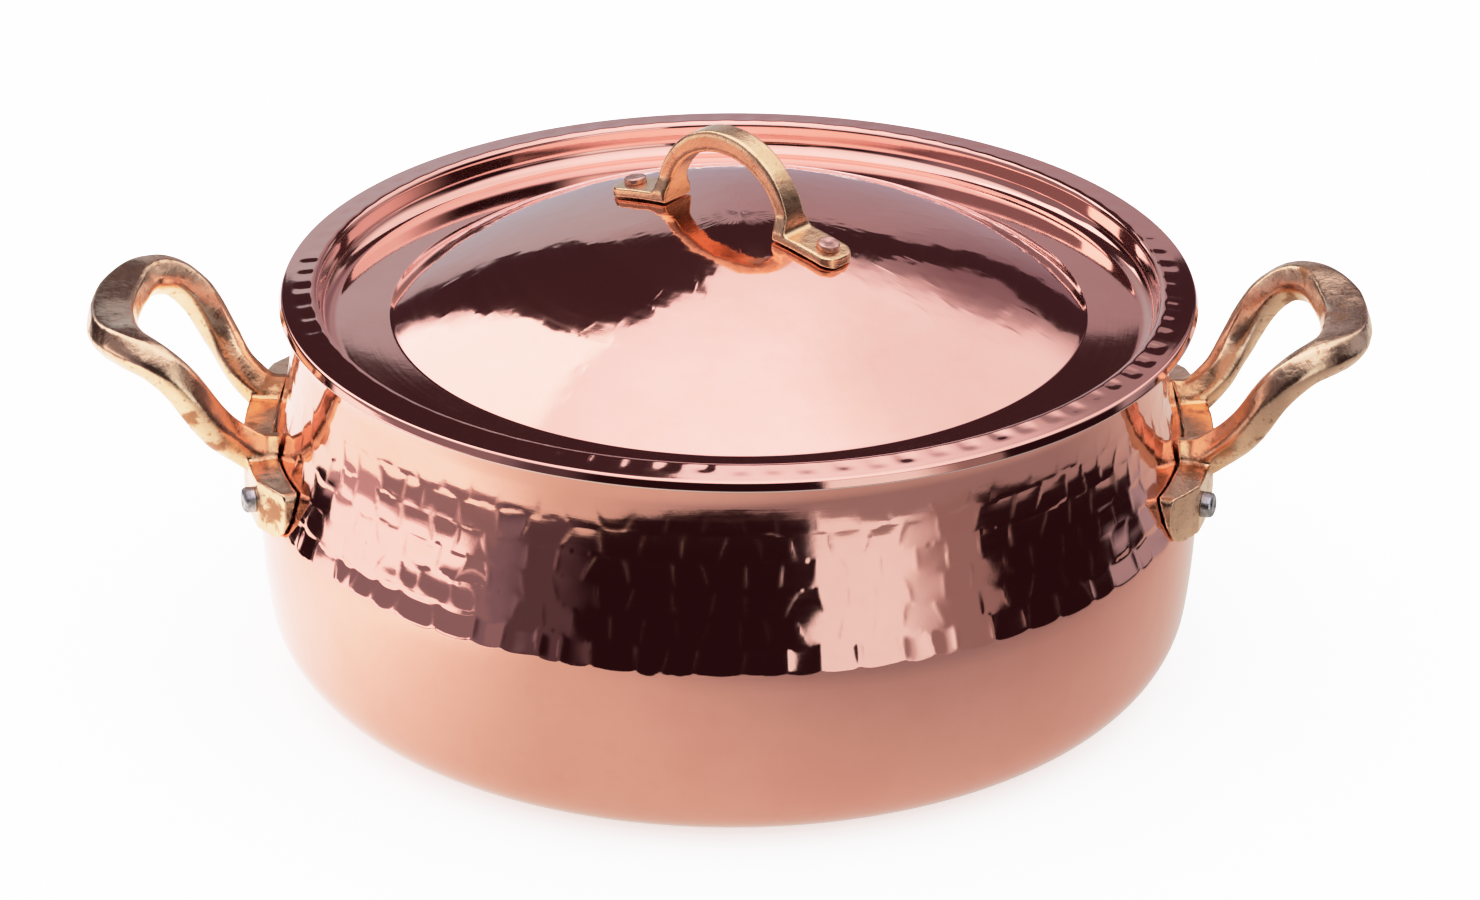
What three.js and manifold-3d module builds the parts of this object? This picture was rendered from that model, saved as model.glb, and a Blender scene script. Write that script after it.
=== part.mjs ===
// Copper casserole pot: a bellied copper pot on a flat base, two cast brass loop handles riveted
// to its shoulder, and a domed copper lid with a brass strap handle riveted on top.
// Millimetres, +Z up. The origin is the middle of the underside of the base, and +X runs
// through the right side handle. The pot stands on its base with the lid on.
import * as THREE from "three";
import { mergeVertices } from "three/addons/utils/BufferGeometryUtils.js";
import Module from "manifold-3d";

// Pot body, measured on the outside of the copper
const potHeight = 126.4;
const wall = 2;
const neckRadius = 141.4;
const neckHeight = 7;
const bellySwell = 9.9;
const bellyHeight = 58;
const baseInset = 30.3;
const cornerRadius = 28;
const lipHeight = 3;
const lipFlare = 1;
const lipEdge = 1;
const shoulderShare = 0.7;

// Lid, measured on the upper side of the copper
const lidThickness = 1.5;
const lidPlay = 3.3;
const flangeWidth = 12.4;
const flangeDroop = 1.3;
const channelWidth = 23.1;
const channelDepth = 9.6;
const channelDraft = 1.1;
const channelFillet = 5;
const flangeFillet = 2.2;
const domeRise = 24.2;
const domeFoot = 9;
const creaseFillet = 0.8;

// Side handles: a saddle plate on the shoulder and a raised loop
const plateSpan = 114;
const plateHeight = 17;
const plateTopHeight = 80;
const plateThickness = 5.5;
const plateTipThickness = 1.6;
const plateChamfer = 11.5;
const plateTopCorner = 2;
const plateLowCorner = 7;
const plateEase = 0.8;
const loopReach = 50;
const loopRootInset = 9;
const loopHalfSpread = 35.5;
const loopRise = 38.7;
const loopRootDrop = 1.5;
const barWidth = 12.6;
const barHeight = 13;
const gripWidth = 17.5;
const gripHeight = 13.4;
const rootHeight = 15;

// Lid handle: a strap bent into an arch, with a foot at each end
const strapWidth = 12.5;
const strapThickness = 4.3;
const strapEase = 0.6;
const archSpan = 57.4;
const archLift = 3;
const footLength = 19.5;
const footThickness = 3.3;
const footFillet = 1.6;
const footCorner = 5;
const lidHandleTurn = THREE.MathUtils.degToRad(-40);
const lidHandleOffset = 3.5;

// Rivets
const sideRivetInset = 15.5;
const sideShankRadius = 2.7;
const sideHeadRadius = 4.3;
const sideHeadHeight = 4.2;
const sideInnerHeadRadius = 5.4;
const sideInnerHeadHeight = 2.6;
const lidRivetInset = 6.6;
const lidShankRadius = 2.2;
const lidHeadRadius = 3.8;
const lidHeadHeight = 2.2;
const lidInnerHeadRadius = 4.4;
const lidInnerHeadHeight = 1.2;
const headRoundShare = 0.45;

// Clearances
const seatGap = 0.3;
const mouthGap = 0.4;
const rivetGap = 0.3;
const overrun = 5;
const weldGap = 0.0003;

// How finely round forms are divided
const turnSteps = 60;
const holeSteps = 12;
const loopSteps = 44;
const curveSteps = 10;
const chordError = 0.3;
const seatChordError = 0.12;
const widestArcStep = THREE.MathUtils.degToRad(40);

// Finishes
const copper = { color: 0xd98a6c, roughness: 0.12, metalness: 1 };
const brass = { color: 0xc9a063, roughness: 0.28, metalness: 1 };
const steel = { color: 0xa39a98, roughness: 0.32, metalness: 1 };
const copperRivet = { color: 0xc07a60, roughness: 0.35, metalness: 1 };

const wasm = await Module();
wasm.setup();

// A closed three.js geometry as a solid that can be joined and cut.
function solid(geometry) {
  geometry.deleteAttribute("normal");
  geometry.deleteAttribute("uv");
  const merged = mergeVertices(geometry, weldGap);
  return new wasm.Manifold(
    new wasm.Mesh({
      numProp: 3,
      vertProperties: new Float32Array(merged.attributes.position.array),
      triVerts: new Uint32Array(merged.index.array),
    }),
  );
}

// A named mesh of one solid in its own finish.
function piece(name, body, finish) {
  const { vertProperties, numProp, triVerts } = body.getMesh();
  const geometry = new THREE.BufferGeometry();
  geometry.setAttribute("position", new THREE.BufferAttribute(vertProperties, numProp));
  geometry.setIndex(new THREE.BufferAttribute(triVerts, 1));
  geometry.computeVertexNormals();
  const mesh = new THREE.Mesh(geometry, new THREE.MeshStandardMaterial(finish));
  mesh.name = name;
  return mesh;
}

// Points of an arc in a profile of radius and height, close enough to stay within an error.
function arc(centreR, centreZ, radius, from, to, error = chordError) {
  const arcStep = Math.min(widestArcStep, 2 * Math.acos(1 - error / radius));
  const steps = Math.ceil(Math.abs(to - from) / arcStep);
  const path = new THREE.Path();
  path.absarc(centreR, centreZ, radius, from, to, to < from);
  return path.getSpacedPoints(steps);
}

// The corner points of a profile, each rounded by its own fillet. Only a closed profile has
// fillets on its first and last corners.
function filleted(corners) {
  const points = [];
  corners.forEach(({ r, z, fillet = 0 }, i) => {
    const at = new THREE.Vector2(r, z);
    if (!fillet) {
      points.push(at);
      return;
    }
    const last = corners.at(i - 1);
    const next = corners[(i + 1) % corners.length];
    const before = new THREE.Vector2(last.r, last.z).sub(at).normalize();
    const after = new THREE.Vector2(next.r, next.z).sub(at).normalize();
    const half = Math.acos(before.dot(after)) / 2;
    const inward = before.clone().add(after).normalize();
    const centre = at.clone().addScaledVector(inward, fillet / Math.sin(half));
    const start = at.clone().addScaledVector(before, fillet / Math.tan(half)).sub(centre);
    const end = at.clone().addScaledVector(after, fillet / Math.tan(half)).sub(centre);
    const sweep = Math.atan2(start.cross(end), start.dot(end));
    points.push(...arc(centre.x, centre.y, fillet, start.angle(), start.angle() + sweep));
  });
  return points;
}

// A rectangle with its lower and upper corners rounded.
function roundedBox(left, right, bottom, top, lowFillet, topFillet) {
  const corners = [
    { r: left, z: bottom, fillet: lowFillet },
    { r: right, z: bottom, fillet: lowFillet },
    { r: right, z: top, fillet: topFillet },
    { r: left, z: top, fillet: topFillet },
  ];
  return new THREE.Shape(filleted(corners));
}

// A profile moved sideways by a distance, to the left of its direction where that is positive.
function offset(profile, distance) {
  return profile.map((point, i) => {
    const last = profile.length - 1;
    const into = point.clone().sub(profile[Math.max(i - 1, 0)]);
    const out = profile[Math.min(i + 1, last)].clone().sub(point);
    const a = (i ? into : out).normalize();
    const b = (i < last ? out : into).normalize();
    const mitre = a.clone().add(b).normalize();
    const reach = distance / mitre.dot(a);
    return new THREE.Vector2(point.x - mitre.y * reach, point.y + mitre.x * reach);
  });
}

// A solid of revolution about Z from an outline that runs anticlockwise in radius and height.
function revolve(outline) {
  return solid(new THREE.LatheGeometry(outline, turnSteps).rotateX(Math.PI / 2));
}

// A sheet of metal turned about Z, from a profile that runs from the axis outwards. The sheet lies
// to the left of the profile, or to its right where the thickness is negative.
function shell(profile, thickness) {
  const other = offset(profile, thickness);
  other[0].x = 0;
  const [under, over] = thickness > 0 ? [profile, other] : [other, profile];
  return revolve([...under, ...over.toReversed()]);
}

// A straight round bar along a direction from a point, for shanks, heads and holes.
function bar(radius, from, direction, length) {
  const outline = [
    new THREE.Vector2(0, 0),
    new THREE.Vector2(radius, 0),
    new THREE.Vector2(radius, length),
    new THREE.Vector2(0, length),
  ];
  return placed(new THREE.LatheGeometry(outline, holeSteps), from, direction);
}

// A geometry that stands on Y, turned to stand on a direction at a point.
function placed(geometry, from, direction) {
  const turn = new THREE.Quaternion().setFromUnitVectors(new THREE.Vector3(0, 1, 0), direction);
  return solid(geometry.applyQuaternion(turn).translate(from.x, from.y, from.z));
}

// Where the pot is widest, and where its flat base ends.
const bellyRadius = neckRadius + bellySwell;
const baseRadius = bellyRadius - baseInset;

// Outer profile of the pot from the axis to the rim. The corner and the lower belly are two arcs
// that meet in one tangent, and so are the upper belly and the shoulder.
function potProfile(grow = 0) {
  const height = bellyHeight - cornerRadius;
  const lowerRadius =
    (baseInset * baseInset + height * height - cornerRadius * cornerRadius) /
    (2 * (baseInset - cornerRadius));
  const tangent = Math.atan2(-height, lowerRadius - baseInset);
  const neckFoot = potHeight - neckHeight;
  const rise = neckFoot - bellyHeight;
  const lean = 2 * Math.atan(bellySwell / rise);
  const radii = rise / Math.sin(lean);
  const shoulderRadius = radii * shoulderShare;
  const upperRadius = radii - shoulderRadius;
  const lipFoot = potHeight - lipHeight;
  const profile = [
    new THREE.Vector2(0, 0),
    ...arc(baseRadius, cornerRadius, cornerRadius, -Math.PI / 2, tangent),
    ...arc(bellyRadius - lowerRadius, bellyHeight, lowerRadius, tangent, 0).slice(1),
    ...arc(bellyRadius - upperRadius, bellyHeight, upperRadius, 0, lean).slice(1),
    ...arc(neckRadius + shoulderRadius, neckFoot, shoulderRadius, Math.PI + lean, Math.PI).slice(1),
    new THREE.Vector2(neckRadius, lipFoot),
    new THREE.Vector2(neckRadius + lipFlare, potHeight - lipEdge),
    new THREE.Vector2(neckRadius + lipFlare, potHeight),
  ];
  return grow ? offset(profile, -grow) : profile;
}

// The pot's outer radius at a height.
function potRadiusAt(height) {
  const profile = potProfile();
  const i = profile.findIndex((point) => point.y > height && point.x > baseRadius);
  const low = profile[i - 1];
  const high = profile[i];
  return THREE.MathUtils.mapLinear(height, low.y, high.y, low.x, high.x);
}

// The filled space that the pot takes up, grown by a clearance.
function potSpace(grow) {
  const profile = potProfile(grow);
  profile[0].x = 0;
  return revolve([...profile, new THREE.Vector2(0, potHeight)]);
}

// The lid fits the mouth with its play, and its flange, channel and dome follow.
const channelRadius = neckRadius - wall - lidPlay - lidThickness;
const flangeRadius = channelRadius + flangeWidth;
const domeRadius = channelRadius - channelWidth;

// Upper profile of the lid from the axis to the flange's edge, with height zero at the flange root.
function lidProfile() {
  const rise = domeRise + domeFoot;
  const sphere = (domeRadius * domeRadius + rise * rise) / (2 * rise);
  const edge = Math.asin(domeRadius / sphere);
  const top = Math.PI / 2;
  const dome = arc(0, domeRise - sphere, sphere, top, top - edge, seatChordError);
  const brim = filleted([
    { r: dome.at(-2).x, z: dome.at(-2).y },
    { r: domeRadius, z: -domeFoot, fillet: creaseFillet },
    { r: channelRadius - channelDraft, z: -channelDepth, fillet: channelFillet },
    { r: channelRadius, z: 0, fillet: flangeFillet },
    { r: flangeRadius, z: -flangeDroop },
  ]);
  return { points: [...dome.slice(0, -2), ...brim], sphere };
}

// Where the lid lies: pushed against the right of the mouth, its flange down on the rim.
const lidShift = lidPlay - mouthGap;
const flangeSlope = flangeDroop / flangeWidth;
const rimReach = neckRadius + lipFlare + lidShift - channelRadius;
const lidHeight = potHeight + seatGap + lidThickness + flangeSlope * rimReach;

// Rivets of the side handles: two per handle, level with the middle of the saddle plate.
const plateFoot = plateTopHeight - plateHeight;
const plateMiddle = plateTopHeight - plateHeight / 2;
const plateBack = Math.max(potRadiusAt(plateFoot), potRadiusAt(plateTopHeight));
const plateRadius = plateBack + plateThickness;
const rivetAngle = Math.asin((plateSpan / 2 - sideRivetInset) / plateRadius);

function sideRivetAxis(side, angle) {
  const turn = side > 0 ? angle : Math.PI - angle;
  return new THREE.Vector3(Math.cos(turn), Math.sin(turn), 0);
}

function sideRivetHole(side, angle) {
  const axis = sideRivetAxis(side, angle);
  const from = axis.clone().multiplyScalar(neckRadius - wall - overrun).setZ(plateMiddle);
  const length = plateRadius - neckRadius + wall + 2 * overrun;
  return bar(sideShankRadius + rivetGap, from, axis, length);
}

// The copper pot, one sheet from rim to rim, drilled for the four handle rivets.
function potBody() {
  let body = shell(potProfile(), wall);
  for (const side of [-1, 1])
    for (const angle of [-rivetAngle, rivetAngle]) body = body.subtract(sideRivetHole(side, angle));
  return piece("pot_body", body, copper);
}

// Half of the loop's centre line as shares of its reach, half spread and rise, root to tip.
const loopShares = [
  [-0.16, 0.64, 0],
  [0.04, 0.66, 0.02],
  [0.2, 0.75, 0.17],
  [0.34, 0.92, 0.41],
  [0.52, 1, 0.78],
  [0.68, 0.96, 0.96],
  [0.84, 0.8, 1.01],
  [0.955, 0.46, 0.98],
];
const loopTipShares = [1, 0, 0.96];

// The loop's section from its outer ridge round the underside to its inner ridge, as shares of its
// width and height. Its top is flat, narrow on the bars and broad on the grip.
const sectionShares = [
  [0.46, 0.16],
  [0.5, 0.02],
  [0.47, -0.14],
  [0.3, -0.42],
  [0.16, -0.5],
  [-0.16, -0.5],
  [-0.3, -0.42],
  [-0.47, -0.14],
  [-0.5, 0.02],
  [-0.46, 0.16],
];
const topShares = { bar: 0.13, grip: 0.34, shoulder: 0.06, shoulderDrop: 0.04 };

// Shares of the way from the tip to a root where the grip ends and where the root swells.
const gripShares = { full: 0.12, gone: 0.45 };
const rootShares = { begins: 0.82, full: 0.97 };

// One ring of the loop's section round a point of its centre line.
function loopRing(centre, side, up, width, height, topShare) {
  const shoulder = topShare + topShares.shoulder;
  const shoulderHeight = 0.5 - topShares.shoulderDrop;
  const top = [
    [-shoulder, shoulderHeight],
    [-topShare, 0.5],
    [topShare, 0.5],
    [shoulder, shoulderHeight],
  ];
  return [...sectionShares, ...top].map(([across, above]) =>
    centre
      .clone()
      .addScaledVector(side, across * width)
      .addScaledVector(up, above * height),
  );
}

// A closed solid through a row of rings, capped at both ends.
function loft(rings) {
  const count = rings[0].length;
  const index = [];
  for (let i = 0; i + 1 < rings.length; i++)
    for (let j = 0; j < count; j++) {
      const a = i * count + j;
      const b = i * count + ((j + 1) % count);
      index.push(a, b, a + count, b, b + count, a + count);
    }
  const last = (rings.length - 1) * count;
  for (let j = 1; j + 1 < count; j++) {
    index.push(0, j + 1, j);
    index.push(last, last + j, last + j + 1);
  }
  const geometry = new THREE.BufferGeometry().setFromPoints(rings.flat());
  return solid(geometry.setIndex(index));
}

// The raised loop of a side handle, swept from one root over the grip to the other root.
function handleLoop() {
  const rootRadius = plateRadius - loopRootInset;
  const rootLevel = plateTopHeight - loopRootDrop;
  const place = ([reach, spread, rise], mirror) =>
    new THREE.Vector3(
      rootRadius + reach * loopReach,
      mirror * spread * loopHalfSpread,
      rootLevel + rise * loopRise,
    );
  const line = new THREE.CatmullRomCurve3([
    ...loopShares.map((shares) => place(shares, -1)),
    place(loopTipShares, 1),
    ...loopShares.toReversed().map((shares) => place(shares, 1)),
  ]);
  const { lerp, smoothstep } = THREE.MathUtils;
  const rings = [];
  for (let i = 0; i <= loopSteps; i++) {
    const centre = line.getPointAt(i / loopSteps);
    const ahead = line.getTangentAt(i / loopSteps);
    const side = new THREE.Vector3(ahead.y, -ahead.x, 0).normalize();
    const up = new THREE.Vector3().crossVectors(side, ahead).normalize();
    const fromTip = Math.abs((2 * i) / loopSteps - 1);
    const grip = 1 - smoothstep(fromTip, gripShares.full, gripShares.gone);
    const root = smoothstep(fromTip, rootShares.begins, rootShares.full);
    const width = lerp(barWidth, gripWidth, grip);
    const height = lerp(lerp(barHeight, rootHeight, root), gripHeight, grip);
    const topShare = lerp(topShares.bar, topShares.grip, grip);
    rings.push(loopRing(centre, side, up, width, height, topShare));
  }
  return loft(rings);
}

// The saddle plate: a band round the shoulder whose ends thin down to rounded ears.
function saddlePlate() {
  const chamferAt = Math.asin((plateSpan / 2 - plateChamfer) / plateRadius);
  const tipRadius = potRadiusAt(plateMiddle) + plateTipThickness;
  const tipAt = Math.asin(plateSpan / 2 / tipRadius);
  const inside = neckRadius - wall;
  const plan = new THREE.Shape();
  plan.moveTo(inside * Math.cos(tipAt), -inside * Math.sin(tipAt));
  plan.lineTo(tipRadius * Math.cos(tipAt), -tipRadius * Math.sin(tipAt));
  plan.absarc(0, 0, plateRadius, -chamferAt, chamferAt, false);
  plan.lineTo(tipRadius * Math.cos(tipAt), tipRadius * Math.sin(tipAt));
  plan.lineTo(inside * Math.cos(tipAt), inside * Math.sin(tipAt));
  const band = new THREE.ExtrudeGeometry(plan, {
    depth: plateHeight - 2 * plateEase,
    bevelThickness: plateEase,
    bevelSize: plateEase,
    bevelOffset: -plateEase,
    bevelSegments: 2,
    curveSegments: curveSteps,
  });
  band.translate(0, 0, plateFoot + plateEase);
  const half = plateSpan / 2;
  const face = roundedBox(-half, half, 0, plateHeight, plateLowCorner, plateTopCorner);
  const slab = new THREE.ExtrudeGeometry(face, { depth: plateRadius + overrun, bevelEnabled: false });
  slab.rotateX(Math.PI / 2).rotateZ(Math.PI / 2).translate(0, 0, plateFoot);
  return solid(band).intersect(solid(slab));
}

// A side handle: plate and loop in one casting, its back shaped to the pot it lies on.
function sideHandle(name, side) {
  let body = saddlePlate().add(handleLoop()).subtract(potSpace(seatGap));
  for (const angle of [-rivetAngle, rivetAngle]) body = body.subtract(sideRivetHole(1, angle));
  const handle = piece(name, body, brass);
  if (side < 0) handle.rotation.z = Math.PI;
  return handle;
}

// A rivet head that stands on Y, with a rounded rim on its free side.
function headGeometry(radius, height) {
  const round = height * headRoundShare;
  const outline = [
    new THREE.Vector2(0, -height),
    new THREE.Vector2(radius, -height),
    ...arc(radius - round, -round, round, 0, Math.PI / 2),
    new THREE.Vector2(0, 0),
  ];
  return new THREE.LatheGeometry(outline, holeSteps).translate(0, height, 0);
}

// A side rivet: shank through plate and wall, a high head outside, a low one on the inner wall.
function sideRivet(name, side, angle) {
  const axis = sideRivetAxis(side, angle);
  const innerRadius = potRadiusAt(plateMiddle) - wall;
  const headSeat = axis.clone().multiplyScalar(plateRadius + seatGap).setZ(plateMiddle);
  const innerFace = axis.clone().multiplyScalar(innerRadius - sideInnerHeadHeight).setZ(plateMiddle);
  const shankLength = plateRadius + 2 * seatGap - innerRadius + sideInnerHeadHeight;
  const shank = bar(sideShankRadius, innerFace, axis, shankLength);
  const head = placed(headGeometry(sideHeadRadius, sideHeadHeight), headSeat, axis);
  const button = bar(sideInnerHeadRadius, innerFace, axis, sideInnerHeadHeight + overrun);
  const seated = button.intersect(potSpace(-wall - seatGap));
  return piece(name, shank.add(head).add(seated), steel);
}

// The lid handle and its rivets share a frame whose origin is the middle of the dome's sphere, so
// that a turn about it slides them over the dome without lifting them off.
const { points: lidPoints, sphere: domeSphere } = lidProfile();
const lidRivetReach = archSpan / 2 + footLength - lidRivetInset;
const lidRivetLean = Math.asin(lidRivetReach / domeSphere);

function handleSeat() {
  const seat = new THREE.Group();
  seat.position.z = domeRise - domeSphere;
  seat.rotation.set(0, -Math.asin(lidHandleOffset / domeSphere), lidHandleTurn, "YZX");
  seat.updateMatrix();
  return seat;
}

function lidRivetAxis(end) {
  return new THREE.Vector3(end * Math.sin(lidRivetLean), 0, Math.cos(lidRivetLean));
}

function lidRivetHole(end) {
  const axis = lidRivetAxis(end);
  const from = axis.clone().multiplyScalar(domeSphere - lidThickness - overrun);
  return bar(lidShankRadius + rivetGap, from, axis, lidThickness + footThickness + 2 * overrun);
}

// The lid: a dome in a channel, and a flange that slopes down to its edge.
function lidBody() {
  let body = shell(lidPoints, -lidThickness);
  const toLid = handleSeat().matrix;
  for (const end of [-1, 1]) body = body.subtract(lidRivetHole(end).transform(toLid.elements));
  return piece("lid", body, copper);
}

// The lid handle: one strap, its feet bent to the dome, its arch round inside and outside.
function lidHandle() {
  const outer = archSpan / 2;
  const inner = outer - strapThickness;
  const reach = outer + footLength;
  const under = domeSphere + seatGap;
  const over = under + footThickness;
  const centre = Math.sqrt(under * under - outer * outer) + archLift;
  const heel = outer + footFillet;
  const filletTop = Math.sqrt(over * over - heel * heel) + footFillet;
  const lift = Math.asin(Math.max(0, filletTop - centre) / outer);
  const half = [
    ...arc(0, centre, inner, Math.PI / 2, 0),
    ...arc(0, 0, under, Math.acos(inner / under), Math.acos(reach / under), seatChordError),
    ...arc(0, 0, over, Math.acos(reach / over), Math.acos(heel / over)),
    ...arc(heel, filletTop, footFillet, -Math.PI / 2, -Math.PI).slice(1, -1),
    ...arc(0, centre, outer, lift, Math.PI / 2),
  ];
  const mirrored = half.slice(1, -1).map((point) => new THREE.Vector2(-point.x, point.y));
  const side = new THREE.Shape([...half, ...mirrored.reverse()]);
  const strap = new THREE.ExtrudeGeometry(side, {
    depth: strapWidth - 2 * strapEase,
    bevelThickness: strapEase,
    bevelSize: strapEase,
    bevelOffset: -strapEase,
    bevelSegments: 1,
  });
  strap.translate(0, 0, strapEase - strapWidth / 2).rotateX(Math.PI / 2);
  const halfWidth = strapWidth / 2;
  const plan = roundedBox(-reach, reach, -halfWidth, halfWidth, footCorner, footCorner);
  const height = centre + outer + overrun;
  const slab = new THREE.ExtrudeGeometry(plan, { depth: height, bevelEnabled: false });
  let body = solid(strap).intersect(solid(slab));
  for (const end of [-1, 1]) body = body.subtract(lidRivetHole(end));
  return piece("lid_handle", body, brass);
}

// A lid rivet: shank through foot and dome, a low head on the foot and a flat one inside.
function lidRivet(name, end) {
  const axis = lidRivetAxis(end);
  const below = domeSphere - lidThickness - seatGap;
  const above = domeSphere + footThickness + 2 * seatGap;
  const at = (radius) => axis.clone().multiplyScalar(radius);
  const shank = bar(lidShankRadius, at(below - seatGap), axis, above - below + 2 * seatGap);
  const head = placed(headGeometry(lidHeadRadius, lidHeadHeight), at(above), axis);
  const inside = headGeometry(lidInnerHeadRadius, lidInnerHeadHeight);
  const button = placed(inside, at(below), axis.clone().negate());
  return piece(name, shank.add(head).add(button), copperRivet);
}

const pot = new THREE.Group();
pot.add(potBody());
for (const [sideName, side] of [["left", -1], ["right", 1]]) {
  pot.add(sideHandle(`${sideName}_handle`, side));
  pot.add(sideRivet(`${sideName}_handle_front_rivet`, side, -rivetAngle));
  pot.add(sideRivet(`${sideName}_handle_back_rivet`, side, rivetAngle));
}

const seat = handleSeat();
seat.add(lidHandle());
seat.add(lidRivet("lid_handle_left_rivet", -1));
seat.add(lidRivet("lid_handle_right_rivet", 1));

const lid = new THREE.Group();
lid.position.set(lidShift, 0, lidHeight);
lid.add(lidBody(), seat);

const casserole = new THREE.Group();
casserole.add(pot, lid);

export default casserole;
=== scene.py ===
# The looks of a hammered copper casserole: pot, domed lid, two cast loop handles, a strap handle
# and six rivets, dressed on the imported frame. Metres, +Z up, the right handle along +X.
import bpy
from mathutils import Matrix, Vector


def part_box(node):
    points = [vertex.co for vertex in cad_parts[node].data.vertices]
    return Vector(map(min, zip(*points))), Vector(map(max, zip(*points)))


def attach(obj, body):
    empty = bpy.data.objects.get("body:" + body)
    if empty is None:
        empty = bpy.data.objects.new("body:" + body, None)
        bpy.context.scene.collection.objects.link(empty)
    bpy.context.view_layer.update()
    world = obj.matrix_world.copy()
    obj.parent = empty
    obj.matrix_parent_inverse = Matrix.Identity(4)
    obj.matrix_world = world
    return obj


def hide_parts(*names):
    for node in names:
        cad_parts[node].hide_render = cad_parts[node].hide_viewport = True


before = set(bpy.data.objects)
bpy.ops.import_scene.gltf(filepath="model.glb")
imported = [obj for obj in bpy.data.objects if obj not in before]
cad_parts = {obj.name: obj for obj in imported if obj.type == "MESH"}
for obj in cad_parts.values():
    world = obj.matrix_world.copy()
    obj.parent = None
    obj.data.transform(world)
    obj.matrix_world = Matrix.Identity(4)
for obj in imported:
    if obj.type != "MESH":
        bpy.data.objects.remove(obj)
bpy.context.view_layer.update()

import math

import bmesh
import bpy
import numpy as np
from mathutils import Matrix, Vector, noise

MM = 0.001
TURN = 2 * math.pi
QUARTER = math.pi / 2

# Pot, measured on the outside of the copper
POT_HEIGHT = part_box("pot_body")[1].z
BELLY_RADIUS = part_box("pot_body")[1].x
WALL = 2 * MM
BELLY_SWELL = 9.9 * MM
NECK_RADIUS = BELLY_RADIUS - BELLY_SWELL
NECK_HEIGHT = 5.3 * MM
BELLY_HEIGHT = 58 * MM
BASE_INSET = 30.3 * MM
CORNER_RADIUS = 28 * MM
LIP_HEIGHT = 3 * MM
LIP_FLARE = 1 * MM
LIP_EDGE = 1 * MM
SHOULDER_SHARE = 0.7

# Lid, measured on the upper side of the copper from the root of its flange
LID_LOW, LID_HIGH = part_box("lid")
LID_THICKNESS = 1.5 * MM
FLANGE_RADIUS = (LID_HIGH.x - LID_LOW.x) / 2
FLANGE_WIDTH = 12.4 * MM
FLANGE_DROOP = 1.6 * MM
FLANGE_BEAD = 1.2 * MM
FLANGE_TOE = 0.6 * MM
TOE_TURN = math.radians(-135)
FLANGE_FACE = 1.9 * MM
FACE_LEAN = math.radians(18)
FACE_INSET = FLANGE_FACE * math.sin(FACE_LEAN) + (FLANGE_TOE - FLANGE_BEAD) * (1 - math.cos(FACE_LEAN))
CHANNEL_WIDTH = 23.1 * MM
CHANNEL_DEPTH = 10.8 * MM
CHANNEL_DRAFT = 1.1 * MM
CHANNEL_FILLET = 5 * MM
FLANGE_FILLET = 2.2 * MM
DOME_RISE = 24.2 * MM
DOME_FOOT = 9 * MM
CREASE_FILLET = 0.8 * MM
CHANNEL_RADIUS = FLANGE_RADIUS - FLANGE_WIDTH
DOME_RADIUS = CHANNEL_RADIUS - CHANNEL_WIDTH
DOME_SPHERE = (DOME_RADIUS**2 + (DOME_RISE + DOME_FOOT) ** 2) / (2 * (DOME_RISE + DOME_FOOT))
LID_PLACE = Vector(((LID_HIGH.x + LID_LOW.x) / 2, 0, LID_HIGH.z - DOME_RISE))

# Side handles
PLATE_SPAN = 114 * MM
PLATE_HEIGHT = 17 * MM
PLATE_TOP = 80 * MM
PLATE_THICKNESS = 5.5 * MM
PLATE_TIP_THICKNESS = 1.6 * MM
PLATE_CHAMFER = 11.5 * MM
PLATE_TOP_CORNER = 2 * MM
PLATE_LOW_CORNER = 7 * MM
PLATE_MIDDLE = PLATE_TOP - PLATE_HEIGHT / 2
LOOP_REACH = 50 * MM
LOOP_ROOT_INSET = 9 * MM
LOOP_HALF_SPREAD = 35.5 * MM
LOOP_RISE = 38.7 * MM
LOOP_ROOT_DROP = 1.5 * MM
BAR_WIDTH = 12.6 * MM
BAR_HEIGHT = 13 * MM
GRIP_WIDTH = 17.5 * MM
GRIP_HEIGHT = 13.4 * MM
ROOT_HEIGHT = 15 * MM
SIDE_RIVET_INSET = 15.5 * MM

# Lid handle
STRAP_WIDTH = 13.6 * MM
ARCH_WIDTH = 9 * MM
STRAP_THICKNESS = 5.2 * MM
STRAP_TOP_THICKNESS = 7.4 * MM
STRAP_ROUNDING = 2.1 * MM
FOOT_ROUNDING = 0.7 * MM
ARCH_SPAN = 55.4 * MM
ARCH_LIFT = 2.6 * MM
FOOT_LENGTH = 19.5 * MM
FOOT_THICKNESS = 3.3 * MM
FOOT_FILLET = 1.6 * MM
FOOT_CORNER = 5 * MM
LID_HANDLE_TURN = math.radians(-41)
LID_HANDLE_OFFSET = 2.6 * MM
LID_RIVET_INSET = 7.2 * MM

# Rivets: radius and height of the outer head and of the inner button, shank and dimple
SIDE_RIVET = {
    "head": (4.3 * MM, 4.2 * MM), "button": (5.4 * MM, 2.6 * MM), "shank": 2.7 * MM, "dimple": 0.5 * MM,
}
LID_RIVET = {
    "head": (3.8 * MM, 2.2 * MM), "button": (4.4 * MM, 1.2 * MM), "shank": 2.2 * MM, "dimple": 0.3 * MM,
}
CROWN_SHARE = 0.45
DIMPLE_SHARE = 0.5
SEAT_GAP = 0.3 * MM

# Painted shade: the brass is given a warmer, darker colour near the pot and inside the arch
CAST_PAINTED_SHADE = 0.8
PAINTED_SHADE_REACH = (4 * MM, 26 * MM)
PAINTED_SHADE_SPREAD = (25 * MM, 35 * MM)
ARCH_PAINTED_SHADE = 0.7

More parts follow.
